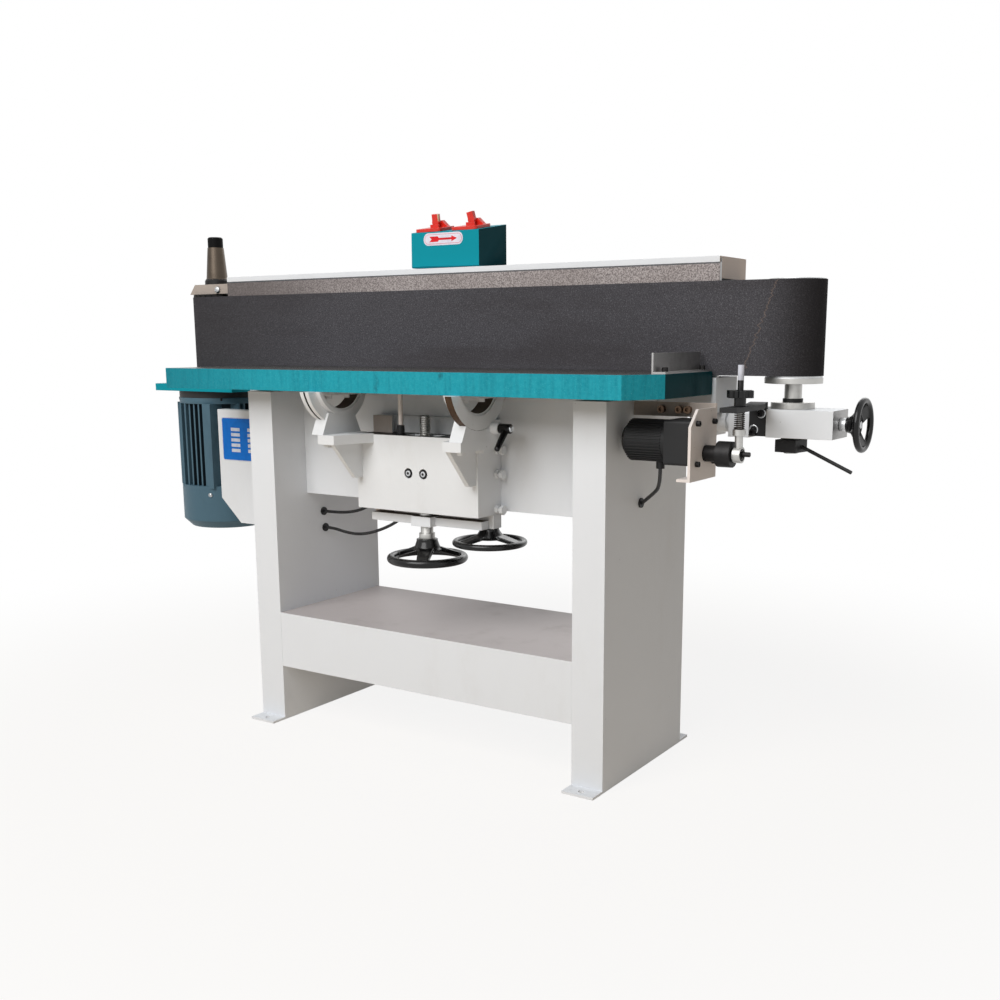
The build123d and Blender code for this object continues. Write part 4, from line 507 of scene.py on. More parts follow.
# brown steel for three screws above the gear motor, darkened as painted shade under the table
brown_steel_and_shade = metal("brown_steel_and_shade", (128, 106, 88), (74, 58, 46), gloss=0.4, scale=140, stains=0.5)
spring_steel = metal("spring_steel", (66, 61, 57), (36, 33, 30), scale=200)
bronze = metal("bronze", (178, 138, 72), (104, 76, 38), gloss=0.34, strokes=(0.05, 0.05, 1), scale=500)
worn_rim = metal("worn_rim", (88, 68, 52), (40, 33, 29), gloss=0.42, strokes=(1, 0.3, 0.3), scale=60, stains=0.9)
print("metals:", turned_steel.name, ground_iron.name, zinc.name, black_oxide.name)

# %% [markdown]
# ## Plastics and rubber
#
# Handwheels and knobs are gloss black mouldings with dust in the shine; the paddles are bright red. The drum's
# tyre is matt rubber, greyed by abrasive dust.

# %% Moulded finishes
def moulded(name, color, dust, gloss=0.2, dusting=0.2, shine=0.5):
    """A moulding: smooth tone, a film of dust and hairline marks."""
    material, place = new_finish(name)
    film = place.noise(18, 5, 0.65).step(0.45, 0.8) * dusting
    hair = place.stretched(1, 0.15, 1).noise(420, 2)
    surface(place, film.mix(color, dust), gloss + film * 0.5 + hair * 0.06, hair, 0.01 * mm, shine)
    return material


gloss_black = moulded("gloss_black", (8, 8, 9), (40, 39, 38), dusting=0.14, shine=0.36)
paddle_red = moulded("paddle_red", (218, 44, 30), (150, 30, 22), gloss=0.28, dusting=0.35)
cream = moulded("cream_insert", (240, 222, 178), (200, 180, 140), gloss=0.35)
cap_black = moulded("cap_black", (6, 6, 6), (24, 23, 22), gloss=0.6, dusting=0.1, shine=0.1)
tyre_rubber = moulded("tyre_rubber", (26, 25, 25), (92, 88, 84), gloss=0.7, dusting=0.5, shine=0.2)
seal_rubber = moulded("seal_rubber", (20, 20, 20), (58, 56, 54), gloss=0.5, dusting=0.3, shine=0.3)
print("mouldings:", gloss_black.name, paddle_red.name, tyre_rubber.name)

# %% [markdown]
# ## Abrasive and graphite
#
# The belt is brown-grey grit on cloth, so it is speckled at the size of the grains and never shines. A jagged
# pale line crosses it where its ends are spliced. The platen behind it is faced with graphite cloth, a coarser
# sparkle of grey flakes.

# %% Belt grit and graphite cloth
splice_x, splice_z, splice_slope = 0.756, 1.0163, 0.37
belt_grit, place = new_finish("belt_grit")
grain = place.noise(950, 2, 0.7)
clump = place.noise(320, 3, 0.75)
wear = place.stretched(0.25, 1, 1.5).noise(6, 4, 0.6)
tone = grain.step(0.3, 0.72).mix((42, 41, 43), (94, 93, 98))
tone = (clump.step(0.5, 0.68) * 0.6).mix(tone, (116, 115, 120))
tone = (wear.step(0.42, 0.72) * 0.45).mix(tone, (54, 50, 51))
far_left = 1 - place.axis(0).step(-1.0, -0.35)
# painted shade: the belt darkens where it bends round the idler
idler_bend_shade = place.axis(0).step(0.74, 0.87)
tone = (far_left * 0.45 + idler_bend_shade * 0.8).mix(tone, (30, 28, 29))
jag = (place.stretched(0, 0, 1).noise(75, 2, 0.7) - 0.5) * 0.042
off_line = place.axis(0) - (place.axis(2) - splice_z) * splice_slope - splice_x + jag
on_front = 1 - place.axis(1).step(0.05, 0.06)
splice = (1 - off_line.math("ABSOLUTE", off_line, 0.0).step(0.0006, 0.0020)) * on_front
tone = (splice * (0.25 + clump * 0.5)).mix(tone, (122, 106, 97))
surface(place, tone, 0.86 + grain * 0.1, grain + clump * 0.8, 0.25 * mm, shine=0.12)

graphite_cloth, place = new_finish("graphite_cloth")
flake = place.noise(360, 3, 0.8)
weave = place.noise(120, 2)
shade = place.noise(5, 3)
tone = flake.step(0.36, 0.64).mix((96, 88, 88), (188, 180, 178))
tone = (shade.step(0.35, 0.7) * 0.35).mix(tone, (112, 102, 98))
far_left = 1 - place.axis(0).step(-0.85, -0.1)
tone = (far_left * 0.78).mix(tone, (70, 63, 62))
# painted shadow: a thin dark band at the cloth's top, under the hood's lip
lip_shadow = place.axis(2).step(1.1463, 1.1478)
tone = (lip_shadow * 0.75).mix(tone, (46, 56, 64))
surface(place, tone, 0.45 + weave * 0.3, flake + weave * 0.4, 0.5 * mm, shine=0.45)
print("belt:", belt_grit.name, "- platen:", graphite_cloth.name)

# %% [markdown]
# ## Plate finishes
#
# The rating plate is a bare blue anodised sheet with pale empty fields, and the direction plate is white enamel
# with a red arrow. Both get a faint grain so that they don't look like paper.

# %% Plate finishes
def printed(name, color, dull):
    """A coated plate: slightly cloudy, with a fine grain."""
    material, place = new_finish(name)
    cloud = place.noise(60, 4)
    tone = cloud.step(0.4, 0.8).mix(color, dull)
    surface(place, tone, 0.35 + cloud * 0.15, place.noise(1200, 1), 0.008 * mm, shine=0.2)
    return material


plate_blue = printed("plate_blue", (0, 108, 200), (0, 96, 184))
plate_pale = printed("plate_pale", (212, 214, 224), (190, 194, 206))
plate_white = printed("plate_white", (230, 226, 238), (214, 210, 224))
arrow_line = printed("arrow_line", (224, 138, 150), (212, 128, 140))
arrow_red = printed("arrow_red", (222, 38, 44), (196, 34, 40))
print("plates:", plate_blue.name, plate_pale.name, arrow_red.name)

# %% [markdown]
# ## Real edges
#
# No folded sheet or casting has a perfectly sharp edge, and the thin bright line along a rounded one is what
# makes it look solid. A CAD node's mesh is loose triangles, so a copy is welded, its flat areas are joined into
# whole faces and the bevel modifier rounds what is left. Weighted normals keep the shading of a wide flat face
# even up to its rounded edge. The copy then stands for its node.

# %% Dress a node
flat_angle, edge_angle = math.radians(0.3), math.radians(38)


def dress(node, finish, round_mm, spots=(), segments=2):
    """Copy a CAD node, weld it, round its edges and paint it; spots are (finish, test) for parts of it."""
    piece = put_in_scene(node + "_dressed", frame["nodes"][node].data.copy())
    edit(piece, action="SELECT")
    bpy.ops.mesh.customdata_custom_splitnormals_clear()
    bpy.ops.mesh.remove_doubles(threshold=weld_gap)
    bpy.ops.mesh.dissolve_limited(angle_limit=flat_angle)
    apply_modifier(piece, "BEVEL", width=round_mm * mm, segments=segments, limit_method="ANGLE",
                   angle_limit=edge_angle)
    piece.data.materials.clear()
    piece.data.materials.append(finish)
    for material, test in spots:
        piece.data.materials.append(material)
    for face in piece.data.polygons:
        face.material_index = 0
        for number, (material, test) in enumerate(spots, 1):
            if test(face.center / mm, face.normal):
                face.material_index = number
    seat(piece, body_of_node[node], slot_of_node[node], None, node, smooth=30)
    apply_modifier(piece, "WEIGHTED_NORMAL", keep_sharp=True)
    return piece


print("dressing ready")

# %% [markdown]
# ## Sheet parts
#
# The stand is folded and welded sheet under one off-white coat. A few faces carry painted light: painted shade
# darkens the shelf's top and the bearer's top under the saddle, and a painted warm reflection tints the hood's
# right end. They are picked by the way they face.

# %% Stand, hood and brackets
def along(axis):
    """A test for faces that look along an axis."""
    return lambda at, way: way[axis] > 0.9


facing_right, facing_up = along(0), along(2)
sheet_parts = ["left_leg", "right_leg", "fascia_panel", "top_beam", "motor_guard", "arm_pivot", "control_box"]
for node in sheet_parts:
    dress(node, stand_white, 1.0)
# the bearer's top, under the saddle, gets painted shade
dress("screw_bearer", stand_white, 1.0, [(bare_casting_and_shade, facing_up)])
# the shelf's top gets painted shade
dress("shelf_panel", stand_white, 1.0, [(shelf_top_shade, facing_up)])
# the hood's right end gets the painted warm reflection
dress("belt_hood", stand_white, 0.8, [(hood_end_warm_reflection, facing_right)])
# the top bearing bracket is white-painted; its grey is painted shade
dress("top_bearing_bracket", shade_and_bare_grey, 1.2)
# the front of the oscillation bracket's back flange gets the grey as painted shade under the table
flange_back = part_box("osc_bracket")[1].y / mm
dress("osc_bracket", warm_white, 0.8, [(shade_and_bare_grey, lambda at, way: way.y < -0.9 and at.y > flange_back - 8)])
print("sheet parts:", len(sheet_parts) + 5)

# %% [markdown]
# ## Castings
#
# The saddle that lifts the table, its two brackets and cradles and the slideway are painted castings with a
# coarser skin and bigger radii. The table is one casting too, hammered teal with a ground top.

# %% Knee and table
saddle_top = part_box("knee_saddle")[1].z / mm
dress("knee_saddle", cast_white, 1.6, [
    # the saddle's top face is dark: painted shade of the gap between the saddle and the slideway
    (black_oxide, lambda at, way: at.z > saddle_top - 1 and facing_up(at, way))], segments=3)
dress("table_brackets", cast_white, 2.0)
dress("trunnion_cradles", cast_white, 2.0)
ways_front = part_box("slideway")[0].y / mm
# the front of the slideway's left way is bare machined steel in the darker grey
dress("slideway", cast_white, 1.0, [(shade_and_bare_grey, lambda at, way: at.y < ways_front + 1 and at.x < 0)])
arm_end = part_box("idler_arm")[1].x / mm
dress("idler_arm", stand_white, 1.4, [
    (ground_steel, lambda at, way: at.x > arm_end - 1 and way.x > 0.95)], segments=3)
table_high, right_end = 920, 640
# the table's underside is bare casting; its right end gets dark teal as painted shade
dress("work_table", hammer_teal, 2.0, [
    (ground_iron, lambda at, way: at.z > table_high - 0.5 and facing_up(at, way)),
    (bare_casting_and_shade, lambda at, way: way.z < -0.9),
    (teal_side_shade, lambda at, way: at.x > right_end and facing_right(at, way))], segments=3)
print("castings ready")

# %% [markdown]
# ## Motor, gear motor and drums
#
# The motors keep their CAD fins and ribs, with the edges broken. Drums are turned aluminium with a rubber tyre
# on the driven one, and the spindle above it is bare steel under a black cap, painted darker as a dark reflection.

# %% Drive parts
motor_x, motor_y = -943, 108
idler_x, idler_y = 812, 99
fin_root, cap_low, spindle_low, flange_high = 113, 1251.8, 1163, 904.5
seal_low, seal_high, seal_radius = 854, 863.2, 22.5


def near(x, y, radius):
    """A test for places within a radius of an upright line."""
    return lambda at: math.hypot(at.x - x, at.y - y) < radius


in_grooves, in_seal = near(motor_x, motor_y, fin_root), near(idler_x, idler_y, seal_radius)
# the grooves between the fins get painted shade
dress("motor_frame", slate, 0.8, [(slate_groove_shade, lambda at, way: abs(way.z) < 0.5 and in_grooves(at))])
dress("fan_cover", slate, 1.0)
dress("motor_flange", satin_black, 1.0)
dress("motor_bracket", box_teal, 1.2)
dress("gear_motor", satin_black, 0.5)
dress("drum_tyre", tyre_rubber, 0.4)
dress("drive_drum", aluminium, 0.6)
dress("motor_rotor", turned_steel, 0.4)
dress("sanding_spindle", spindle_steel_dark_reflection, 0.8, [
    (cap_black, lambda at, way: at.z > cap_low), (black_oxide, lambda at, way: at.z < spindle_low)])
dress("idler_drum", aluminium, 0.6, [(turned_steel, lambda at, way: at.z < flange_high)])
dress("idler_bearings", turned_steel, 0.3)
dress("idler_post", turned_steel, 0.6, [
    (seal_rubber, lambda at, way: seal_low < at.z < seal_high and in_seal(at)
     and (abs(way.z) < 0.5 or at.z > seal_high - 1.2))])
print("drive parts ready")

# %% [markdown]
# ## Arm, crank and small parts
#
# The arm that steers the belt, its crank and levers, the table's trunnions and the switches are small machined or
# moulded parts. A second finish, such as a seal, a screw or a worn rim, goes on the faces that are in its place,
# which needs no extra shape.

# %% Arm, crank and small parts
trunnion_y, trunnion_z = -212, 900
sleeve_high = 789.5
angle_screws = [near(637.5, y, 6.7) for y in (-170, 13)]


def trunnion_radius(at):
    """How far a place is from the axis that the table tilts about."""
    return math.hypot(at.y - trunnion_y, at.z - trunnion_z)


dress("arm_shaft", stand_white, 0.8)
dress("lever_plate", satin_black, 0.8, [(black_oxide, lambda at, way: 30 < at.y < 48.5 and at.z < 843)])
dress("push_rod", turned_steel, 0.5)
dress("crank", black_oxide, 0.8)
dress("clamp_nut", satin_black, 0.8)
dress("star_knob", gloss_black, 1.2, segments=3)
dress("tilt_lever", gloss_black, 0.8)
dress("lift_nut", bronze, 0.5)
dress("stop_rod", warm_white, 0.4, [(satin_black, lambda at, way: at.z < sleeve_high)])
dress("knee_screws", black_oxide, 0.4, [(cast_white, lambda at, way: abs(at.x) > 100)])
dress("stand_screws", black_oxide, 0.4, [
    (cast_white, lambda at, way: 150 < at.x < 260 and at.z < 760),
    # the three screws above the gear motor: brown steel, darkened as painted shade under the table
    (brown_steel_and_shade, lambda at, way: 575 < at.x < 662 and 828 < at.z < 858)])
dress("table_trunnions", cast_white, 0.6, [
    (seal_rubber, lambda at, way: abs(at.x + 219.5) < 0.15 or
     -219.6 < at.x < -214.4 and 103 < trunnion_radius(at) < 108.8),
    # the walls inside the trunnion bores get painted shade
    (bare_casting_and_shade, lambda at, way: 70 < trunnion_radius(at) < 73 and abs(way.x) < 0.5),
    (worn_rim, lambda at, way: at.x > 188 and trunnion_radius(at) > 108.2)])
dress("stop_angle", ground_steel, 0.5, [
    (black_oxide, lambda at, way: at.z < 933.5 and any(screw(at) for screw in angle_screws))])
dress("cable_glands", seal_rubber, 0.4)
dress("platen_plate", ground_steel, 0.8)
# the switch box's right side gets dark teal as painted shade
dress("switch_box", box_teal, 1.2, [(teal_side_shade, facing_right)], segments=3)
for node in ("switch_bases", "left_switch", "right_switch"):
    dress(node, paddle_red, 1.0, segments=3)
print("small parts ready")

# %% [markdown]
# ## The abrasive belt
#
# The belt is one loop of cloth, 200 mm wide, stretched round two drums of different size. Two circles are cut to
# their outer halves, the ends are joined by straight runs and the line is pulled up to the belt's width, so the
# mesh bends only where the real belt does. Solidify then gives it its thickness.

# %% Belt loop
belt_low, belt_high, belt_thickness = 911 * mm, 1111 * mm, 1.7 * mm
drive_radius, idler_radius = 71, 62
between_runs, front_run, run_cuts, belt_courses = 90 * mm, 40 * mm, 90, 4


def half_loop(name, x, y, radius, side):
    """The outer half of a circle round a drum."""
    let_go()
    bpy.ops.mesh.primitive_circle_add(vertices=160, radius=radius * mm, location=(x * mm, y * mm, belt_low))
    loop = fresh(name)
    edit(loop, "VERT")
    pick(lambda at, part: at.x * side < -0.01 * mm, "VERT")
    bpy.ops.mesh.delete(type="VERT")
    select_only(loop)
    settle()
    return loop


belt = join("abrasive_belt", half_loop("belt_drive", motor_x, motor_y, drive_radius, -1),
            half_loop("belt_idler", idler_x, idler_y, idler_radius, 1))
edit(belt, "VERT")
for front in (True, False):
    pick(lambda at, part: (at.y < between_runs) == front and len(part.link_edges) == 1, "VERT")
    bpy.ops.mesh.edge_face_add()
pick(lambda at, part: part.calc_length() > 0.5, "EDGE")
bpy.ops.mesh.subdivide(number_cuts=run_cuts)
bpy.ops.mesh.select_all(action="SELECT")
for course in range(belt_courses):
    bpy.ops.mesh.extrude_region_move(
        TRANSFORM_OT_translate={"value": (0, 0, (belt_high - belt_low) / belt_courses)})
bpy.ops.mesh.select_all(action="SELECT")
merge()
belt_faces = bmesh.from_edit_mesh(belt.data).faces
if sum(face.normal.y for face in belt_faces if face.calc_center_median().y < front_run) > 0:
    bpy.ops.mesh.flip_normals()
apply_modifier(belt, "SOLIDIFY", thickness=belt_thickness, offset=-1)
bpy.ops.object.shade_smooth_by_angle(angle=math.radians(35))
belt.data.materials.append(belt_grit)
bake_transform(belt)
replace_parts(belt, "sanding_belt")
print("belt:", len(belt.data.polygons), "faces")

# %% [markdown]
# ## Graphite facing
#
# Behind the belt a long strip of graphite cloth is glued to the platen, and its top shows above the belt. It is a
# fine grid, roughened a few tenths of a millimetre, with a slightly ragged upper edge.

# %% Platen facing
low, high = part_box("graphite_pad")
let_go()
bpy.ops.mesh.primitive_grid_add(x_subdivisions=420, y_subdivisions=60, size=1.0,
                                location=((low.x + high.x) / 2, low.y + 0.8 * mm, (low.z + high.z) / 2),
                                rotation=(math.pi / 2, 0, 0))
facing = fresh("graphite_facing")
facing.scale = (high.x - low.x, high.z - low.z, 1)
settle()
edit(facing, "VERT")
pick(lambda at, part: at.z > high.z - 0.1 * mm, "VERT")
bpy.ops.transform.vertex_random(offset=0.5 * mm, uniform=0.3, normal=0.0, seed=4)
fluff = bpy.data.textures.new("cloth_fluff", "CLOUDS")
fluff.noise_scale = 0.006
apply_modifier(facing, "DISPLACE", texture=fluff, strength=0.7 * mm)
apply_modifier(facing, "SOLIDIFY", thickness=1.6 * mm, offset=-1)
seat(facing, "stand", "graphite", graphite_cloth, "graphite_pad", smooth=60)
print("facing:", [round(v, 3) for v in (high - low)])

# %% [markdown]
# ## Coils and threads
#
# A coil spring and a screw thread are the same shape at heart: a small section carried round an axis while it
# climbs. The screw modifier does exactly that, with a round section for the spring's wire and a four-sided one
# for the thread's ridge.

# %% Spring and lift screw
def coil(name, x, y, z, radius, section, corners, pitch, turns):
    """A section carried up a helix about a vertical axis, closed at both ends."""
    let_go()
    bpy.ops.mesh.primitive_circle_add(vertices=corners, radius=section, location=(x, y, z))
    made = fresh(name)
    edit(made, "VERT", "SELECT")
    bpy.ops.transform.rotate(value=math.pi / 2, orient_axis="X", center_override=(x, y, z))
    move(radius, 0, 0)
    apply_modifier(made, "SCREW", axis="Z", angle=2 * math.pi, screw_offset=pitch, iterations=turns, steps=36,
                   render_steps=36)
    edit(made, "EDGE", "SELECT")
    bpy.ops.mesh.fill_holes(sides=corners)
    bpy.ops.mesh.select_all(action="SELECT")
    merge()
    select_only(made)
    return made


rod_x, rod_y, lift_y = 783, -125, -140
spring_low, spring_high, spring_wire, spring_middle = 810.4 * mm, 845.6 * mm, 2.4 * mm, 9.8 * mm
spring_place = (rod_x * mm, rod_y * mm)
spring_turns = 8
spring = coil("tracking_spring", *spring_place, spring_low + spring_wire / 2, spring_middle, spring_wire / 2, 12,
              (spring_high - spring_low - spring_wire) / spring_turns, spring_turns)
spring_ends = []
for height in (spring_low + spring_wire / 2, spring_high - spring_wire / 2):
    let_go()
    bpy.ops.mesh.primitive_torus_add(major_radius=spring_middle, minor_radius=spring_wire / 2, major_segments=48,
                                     minor_segments=12, location=(*spring_place, height))
    spring_ends.append(fresh("spring_end"))
spring = join("tracking_spring", *spring_ends, spring)
seat(spring, "idler_arm", "dark_steel", spring_steel, "rod_spring")

screw_place, core_high, upper_half = (0, lift_y * mm), 814 * mm, 0.1
thread_low, thread_high, thread_pitch, thread_radius, thread_depth = 596 * mm, 812 * mm, 5 * mm, 13.5 * mm, 2.3 * mm
thread_turns = int((thread_high - thread_low) / thread_pitch)
screw = dress("lift_screw", turned_steel, 0.5)
edit(screw, action="SELECT")
bpy.ops.mesh.bisect(plane_co=(0, 0, thread_low), plane_no=(0, 0, 1), clear_outer=True, use_fill=True)
ridge = coil("thread_ridge", *screw_place, thread_low + thread_depth, thread_radius - thread_depth, thread_depth, 4,
             thread_pitch, thread_turns)
ridge.data.materials.append(turned_steel)
let_go()
bpy.ops.mesh.primitive_cylinder_add(vertices=48, radius=thread_radius - thread_depth, depth=core_high - thread_low,
                                    location=(*screw_place, (core_high + thread_low) / 2))
core = fresh("thread_core")
core.data.materials.append(turned_steel)
edit(core, "EDGE")
pick(lambda at, part: at.z > upper_half, "EDGE")
bpy.ops.mesh.bevel(offset=1.5 * mm, segments=2)
select_only(ridge, core)
settle()
join("lift_screw_dressed", ridge, core, screw)
bpy.ops.mesh.customdata_custom_splitnormals_clear()
bpy.ops.object.shade_smooth_by_angle(angle=math.radians(35))
print("spring and thread:", spring_turns, "and", thread_turns, "turns")

# %% [markdown]
# ## Handwheels
#
# The three handwheels are black mouldings with a dished middle: a round rim, three flat tapered spokes and a hub,
# all running into each other with soft fillets. Rim, spokes and hub are modelled apart, merged by a voxel remesh
# and smoothed, which gives those fillets for free.

# %% Handwheels
def handwheel(name, start, dish, sizes):
    """A dished wheel about Z, its rim in the plane z = 0 and its hub above; in millimetres, and start in degrees."""
    rim, tube, root, neck, hub_low, hub_high, spoke_wide, spoke_narrow, spoke_depth = (v * mm for v in sizes)
    let_go()
    bpy.ops.mesh.primitive_torus_add(major_radius=rim, minor_radius=tube, major_segments=144, minor_segments=32)
    parts = [fresh(name + "_rim")]
    middle = (hub_low + hub_high) / 2
    bpy.ops.mesh.primitive_cone_add(vertices=72, radius1=root, radius2=neck, depth=hub_high - hub_low,
                                    location=(0, 0, middle))
    bell = fresh(name + "_hub")
    settle()
    edit(bell, "EDGE")
    pick(lambda at, part: abs(part.verts[0].co.z - part.verts[1].co.z) > 1 * mm, "EDGE")
    bpy.ops.mesh.subdivide(number_cuts=5)
    pick(lambda at, part: abs(at.z - middle) < (hub_high - hub_low) * 0.4, "VERT")
    bpy.ops.transform.resize(value=(0.92, 0.92, 1), center_override=(0, 0, middle))
    parts.append(bell)
    let_go()
    spoke_top = hub_low + (hub_high - hub_low) * dish
    bpy.ops.mesh.primitive_cube_add(size=1, location=(rim / 2, 0, spoke_top), scale=(rim, spoke_wide, spoke_depth))
    spoke = fresh(name + "_spoke")
    settle()
    edit(spoke)
    pick(lambda at, part: part.normal.x > 0.9)
    move(0, 0, -spoke_top)
    bpy.ops.transform.resize(value=(1, spoke_narrow / spoke_wide, 0.8))
    bpy.ops.mesh.select_all(action="SELECT")
    bpy.ops.mesh.subdivide(number_cuts=6)
    for turn in range(3):
        copy = copy_of(spoke, name + "_spoke")
        copy.rotation_euler = (0, 0, math.radians(start) + turn * 2 * math.pi / 3)
        settle()
        parts.append(copy)
    bpy.data.objects.remove(spoke)
    select_only(*parts)
    settle()
    wheel = join(name, *parts)
    wheel.data.remesh_voxel_size = 1.4 * mm
    bpy.ops.object.voxel_remesh()
    apply_modifier(wheel, "SMOOTH", factor=0.5, iterations=10)
    return wheel


lock_x, lock_y, tension_y, tension_z = 158, -104, 99, 811
wheels = {
    "lift": ((0, lift_y, 472), 0, -62, 0.4, (88, 10, 36, 26, 21, 47, 42, 26, 13)),
    "lock": ((lock_x, lock_y, 519), 0, 4, 0.45, (81.5, 7.5, 40, 22, 9, 33.5, 40, 24, 11)),
    "tension": ((966, tension_y, tension_z), -math.pi / 2, 48, 0.6, (51, 7, 25, 17, 8, 34, 38, 36, 9)),
}
for use, (middle, tilt, start, dish, sizes) in wheels.items():
    wheel = handwheel(use + "_wheel_moulding", start, dish, sizes)
    wheel.rotation_euler = (0, tilt, 0)
    wheel.location = Vector(middle) * mm
    seat(wheel, use + "_wheel", "black_plastic", gloss_black, use + "_handwheel", smooth=60)
    print(use, "wheel:", len(wheel.data.polygons), "faces")

# %% [markdown]
# ## Bars and caps
#
# The wheels turn on plated screws and are closed by round caps, and the push rod ends in a thread with a pale tip.
# Each is a cylinder whose rims are bevelled, because a turned bar has its edges broken.

# %% Bars and caps
def rod(name, start, end, radius, edge, finish, body, slot):
    """A round bar between two points with broken edges."""
    start, end = Vector(start) * mm, Vector(end) * mm
    let_go()
    bpy.ops.mesh.primitive_cylinder_add(vertices=48, radius=radius * mm, depth=(end - start).length,
                                        location=(start + end) / 2,
                                        rotation=(end - start).to_track_quat("Z", "Y").to_euler())
    made = fresh(name)
    edit(made, "EDGE")
    pick(lambda at, part: part.calc_face_angle() > 1, "EDGE")
    bpy.ops.mesh.bevel(offset=edge * mm, segments=2)
    return seat(made, body, slot, finish)


for name, left, right, radius, edge in (("tension_screw_bar", 785, 933, 8, 1), ("tension_bush", 918.4, 932.5, 14, 1),
                                        ("tension_cap", 958, 962.5, 8, 1.2)):
    rod(name, (left, tension_y, tension_z), (right, tension_y, tension_z), radius, edge, zinc, "tension_wheel", "zinc")
for name, x, y, low, high, radius, edge, finish, body, slot in (
        ("lift_wheel_cap", 0, lift_y, 492.5, 497, 12, 1.2, zinc, "lift_wheel", "zinc"),
        ("lock_wheel_cap", lock_x, lock_y, 528.5, 533, 10, 1.2, zinc, "lock_wheel", "zinc"),
        ("push_rod_thread", rod_x, rod_y, 856, 908, 6.25, 0.5, black_oxide, "idler_arm", "dark_steel"),
        ("push_rod_tip", rod_x, rod_y, 908, 938.2, 6.25, 0.5, plate_pale, "idler_arm", "zinc"),
        ("lock_stud_bar", lock_x, lock_y, 552, 579, 7.9, 0.8, zinc, "lock_wheel", "zinc")):
    rod(name, (x, y, low), (x, y, high), radius, edge, finish, body, slot)
print("bars and caps ready")

# %% [markdown]
# ## Plates
#
# The blue rating plate on the guard has two columns of empty fields, and the white plate on the switch box has a
# plain red arrow for the belt's direction. Their rounded corners are bevelled edges, and a border is a slightly
# smaller plate that stands a tenth of a millimetre proud.

# %% Rating plate and arrow plate
def rounded_plate(name, x, z, width, height, back, front, corner):
    """A thin upright plate with rounded corners, facing -Y."""
    let_go()
    bpy.ops.mesh.primitive_cube_add(size=1, location=(x * mm, (back + front) / 2 * mm, z * mm),
                                    scale=(width * mm, (back - front) * mm, height * mm))
    plate = fresh(name)
    settle()
    edit(plate, "EDGE")
    pick(lambda at, part: abs(part.verts[0].co.y - part.verts[1].co.y) > 0.5 * mm, "EDGE")
    bpy.ops.mesh.bevel(offset=corner * mm, segments=10)
    return plate


def sheet(finish, *values):
    """A plate as above, with its finish, on the stand."""
    return seat(rounded_plate(*values), "stand", "plate", finish)


rating_x, rating_z = -722, 719
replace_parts(sheet(plate_pale, "rating_plate", rating_x, rating_z, 124, 120, -50, -51.3, 7), "sign_plates")
sheet(plate_blue, "rating_face", rating_x, rating_z, 119.6, 115.6, -50.8, -51.5, 5.5)
field_x, field_z, field_rows, field_step, field_wide, field_narrow = -731, 746, 5, 14.5, 34, 16
field = rounded_plate("rating_field", field_x, field_z, field_wide, 9.0, -51.2, -51.8, 1.2)
fields = []
for row in range(field_rows):
    for shift, share in ((0, 1.0), (55, field_narrow / field_wide)):
        copy = copy_of(field, "rating_field")
        edit(copy, "VERT", "SELECT")
        bpy.ops.transform.resize(value=(share, 1, 1), center_override=(field_x * mm, 0, 0))
        move(shift * mm, 0, -row * field_step * mm)
        fields.append(copy)
let_go()
bpy.data.objects.remove(field)
seat(join("rating_fields", *fields), "stand", "plate", plate_pale)

arrow_x, arrow_z = -86, 1234
sheet(plate_white, "arrow_plate", arrow_x, arrow_z, 120, 30, 60, 58.9, 14.5)
sheet(arrow_line, "arrow_border", arrow_x, arrow_z, 113.6, 23.6, 59.4, 58.75, 11.4)
sheet(plate_white, "arrow_field", arrow_x, arrow_z, 111.2, 21.2, 59.2, 58.6, 10.2)

# each upright line of the grid gets its place and half height; the ends' middle points make the notch and the tip
arrow_long, arrow_high, arrow_notch, arrow_tip = 84, 15, 7, 17
arrow_columns = {-2: (-42, 6.5), -1: (-16, 6.5), 0: (-12, 2.5), 1: (26, 2.5), 2: (26, 7.0)}
let_go()
bpy.ops.mesh.primitive_grid_add(x_subdivisions=4, y_subdivisions=2, size=1.0, rotation=(math.pi / 2, 0, 0),
                                location=(arrow_x * mm, 58.52 * mm, arrow_z * mm))
arrow = fresh("direction_arrow")
arrow.scale = (arrow_long * mm, arrow_high * mm, 1)
settle()
edit(arrow, "VERT")
mesh = bmesh.from_edit_mesh(arrow.data)
for point in mesh.verts:
    column = round((point.co.x / mm - arrow_x) / (arrow_long / 4))
    side = round((point.co.z / mm - arrow_z) / (arrow_high / 2))
    x, half = arrow_columns[column]
    if side == 0:
        x += {-2: arrow_notch, 2: arrow_tip}.get(column, 0)
    point.co = ((arrow_x + x) * mm, point.co.y, (arrow_z + side * half) * mm)
bmesh.update_edit_mesh(arrow.data)
apply_modifier(arrow, "SOLIDIFY", thickness=0.25 * mm, offset=0)
seat(arrow, "stand", "plate", arrow_red)
print("plates: rating plate with", len(fields), "fields, arrow plate, arrow")

# %% [markdown]
# ## Screws and rings
#
# Small bright fasteners catch the light and tell the eye how big the machine is: round-head screws on the fan
# cover and the bearing bracket, washers under the clamp bolts and the ball ring in the rod end. A round head is
# half a flattened ball with a cross sunk into it, modelled once and copied.

# %% Screws and rings
let_go()
bpy.ops.mesh.primitive_uv_sphere_add(segments=32, ring_count=16, radius=1 * mm)
screw_head = fresh("screw_head")
edit(screw_head, "VERT")
pick(lambda at, part: at.z < -0.01 * mm, "VERT")
bpy.ops.mesh.delete(type="VERT")
bpy.ops.mesh.select_all(action="SELECT")
bpy.ops.transform.resize(value=(1, 1, 0.6))
pick(lambda at, part: at.z > 0.3 * mm and min(abs(at.x), abs(at.y)) < 0.16 * mm and at.xy.length < 0.62 * mm)
move(0, 0, -0.28 * mm)


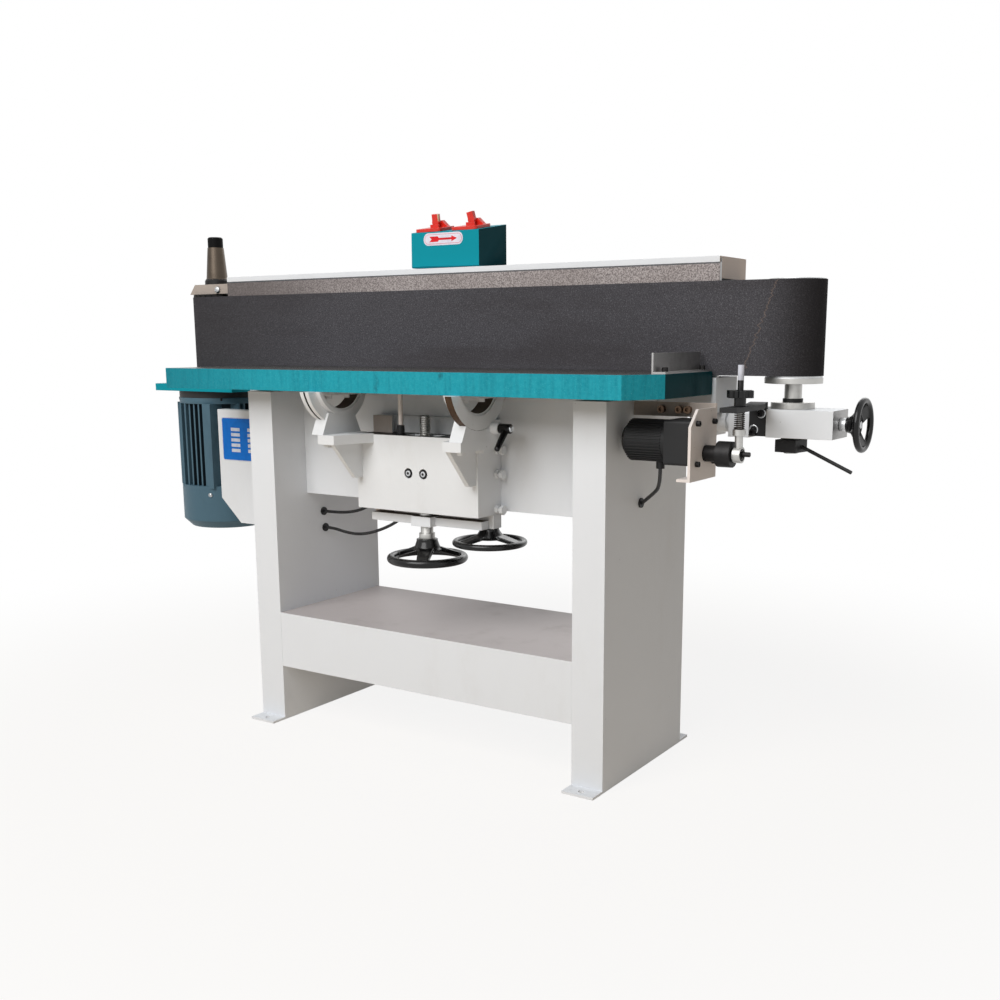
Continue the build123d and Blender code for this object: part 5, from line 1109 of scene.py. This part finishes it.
def round_screw(name, place, way, radius, finish, body, slot):
    """A copy of the screw head at its size, seated at a point and facing a direction."""
    head = copy_of(screw_head, name)
    head.scale = (radius, radius, radius)
    head.rotation_euler = Vector(way).to_track_quat("Z", "Y").to_euler()
    head.location = Vector(place) * mm
    return seat(head, body, slot, finish)


def ring(name, place, way, radius, tube, flat, finish, body, slot):
    """A washer or bearing ring: a torus, flattened along its axis."""
    let_go()
    bpy.ops.mesh.primitive_torus_add(major_radius=radius * mm, minor_radius=tube * mm, major_segments=56,
                                     minor_segments=14)
    made = fresh(name)
    edit(made, "VERT", "SELECT")
    bpy.ops.transform.resize(value=(1, 1, flat))
    made.rotation_euler = Vector(way).to_track_quat("Z", "Y").to_euler()
    made.location = Vector(place) * mm
    return seat(made, body, slot, finish)


fan_screws, fan_first, fan_radius, fan_z = 4, -65.6, 130.6, 547
for number in range(fan_screws):
    turn = math.radians(fan_first + number * 360 / fan_screws)
    way = Vector((math.cos(turn), math.sin(turn), 0))
    round_screw("fan_cover_screw_%d" % number, Vector((motor_x, motor_y, fan_z)) + way * fan_radius, way, 6.5, zinc,
                "stand", "zinc")
flange_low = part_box("motor_flange")[0].z / mm
rod("motor_end_shield", (motor_x, motor_y, flange_low - 3), (motor_x, motor_y, flange_low + 14.5), 126, 2, slate,
    "stand", "slate_paint")
round_screw("bearing_bracket_screw", (-893, 61.8, 1131), (0, -1, 0), 9.5, zinc, "stand", "zinc")
for number, (x, z) in enumerate(((761, 832), (745, 797))):
    ring("clamp_washer_%d" % number, (x, 48.2, z), (0, -1, 0), 8.6, 1.7, 0.5, zinc, "idler_arm", "zinc")
to_right, rod_end_z, seal_x, crank_pin_length = (1, 0, 0), 758.7, 791.2, 36
pin_seat_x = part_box("crank")[1].x / mm - crank_pin_length
ring("rod_end_ball", (rod_x, rod_y, rod_end_z), to_right, 9.3, 0.75, 8.2, turned_steel, "idler_arm", "steel")
ring("rod_end_seal", (seal_x, rod_y, rod_end_z), to_right, 11.2, 1.5, 0.5, black_oxide, "idler_arm", "dark_steel")
ring("crank_pin_seat", (pin_seat_x, rod_y, rod_end_z), to_right, 9, 2.2, 0.5, zinc, "crank", "zinc")
round_screw("tilt_lever_button", (255, -160, 793), to_right, 7.5, zinc, "tilt_lever", "zinc")
bpy.data.objects.remove(screw_head)
print("screws and rings ready")

# %% [markdown]
# ## Paddle insert and saddle bolts
#
# One paddle has a pale insert, and two socket bolts show in the saddle's front. A bolt is a bright cap with a dark
# disc in its middle: painted shade that reads as the socket's hole without cutting it.

# %% Insert and bolts
let_go()
bpy.ops.mesh.primitive_cube_add(size=1, location=(-121.3 * mm, 88.8 * mm, 1288 * mm),
                                scale=(1.6 * mm, 6.5 * mm, 18 * mm), rotation=(math.radians(9), 0, 0))
insert = fresh("switch_insert")
settle()
edit(insert, "EDGE", "SELECT")
bpy.ops.mesh.bevel(offset=0.4 * mm, segments=2)
seat(insert, "left_switch", "plate", cream)

saddle_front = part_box("knee_saddle")[0].y / mm
bolt_z = saddle_top - 88
for side, x in (("", 22), ("_left", -22)):
    rod("knee_bolt_cap" + side, (x, saddle_front + 2, bolt_z), (x, saddle_front - 1.4, bolt_z), 6.8, 0.8, zinc,
        "knee", "zinc")
    # the dark disc is painted shade standing for the socket's hole
    rod("knee_bolt_socket_shade" + side, (x, saddle_front, bolt_z), (x, saddle_front - 1.6, bolt_z), 3.4, 0.2, black_oxide,
        "knee", "dark_steel")
print("insert and two bolts ready")

# %% [markdown]
# ## Close

# %% Finish
print("scene dressed")
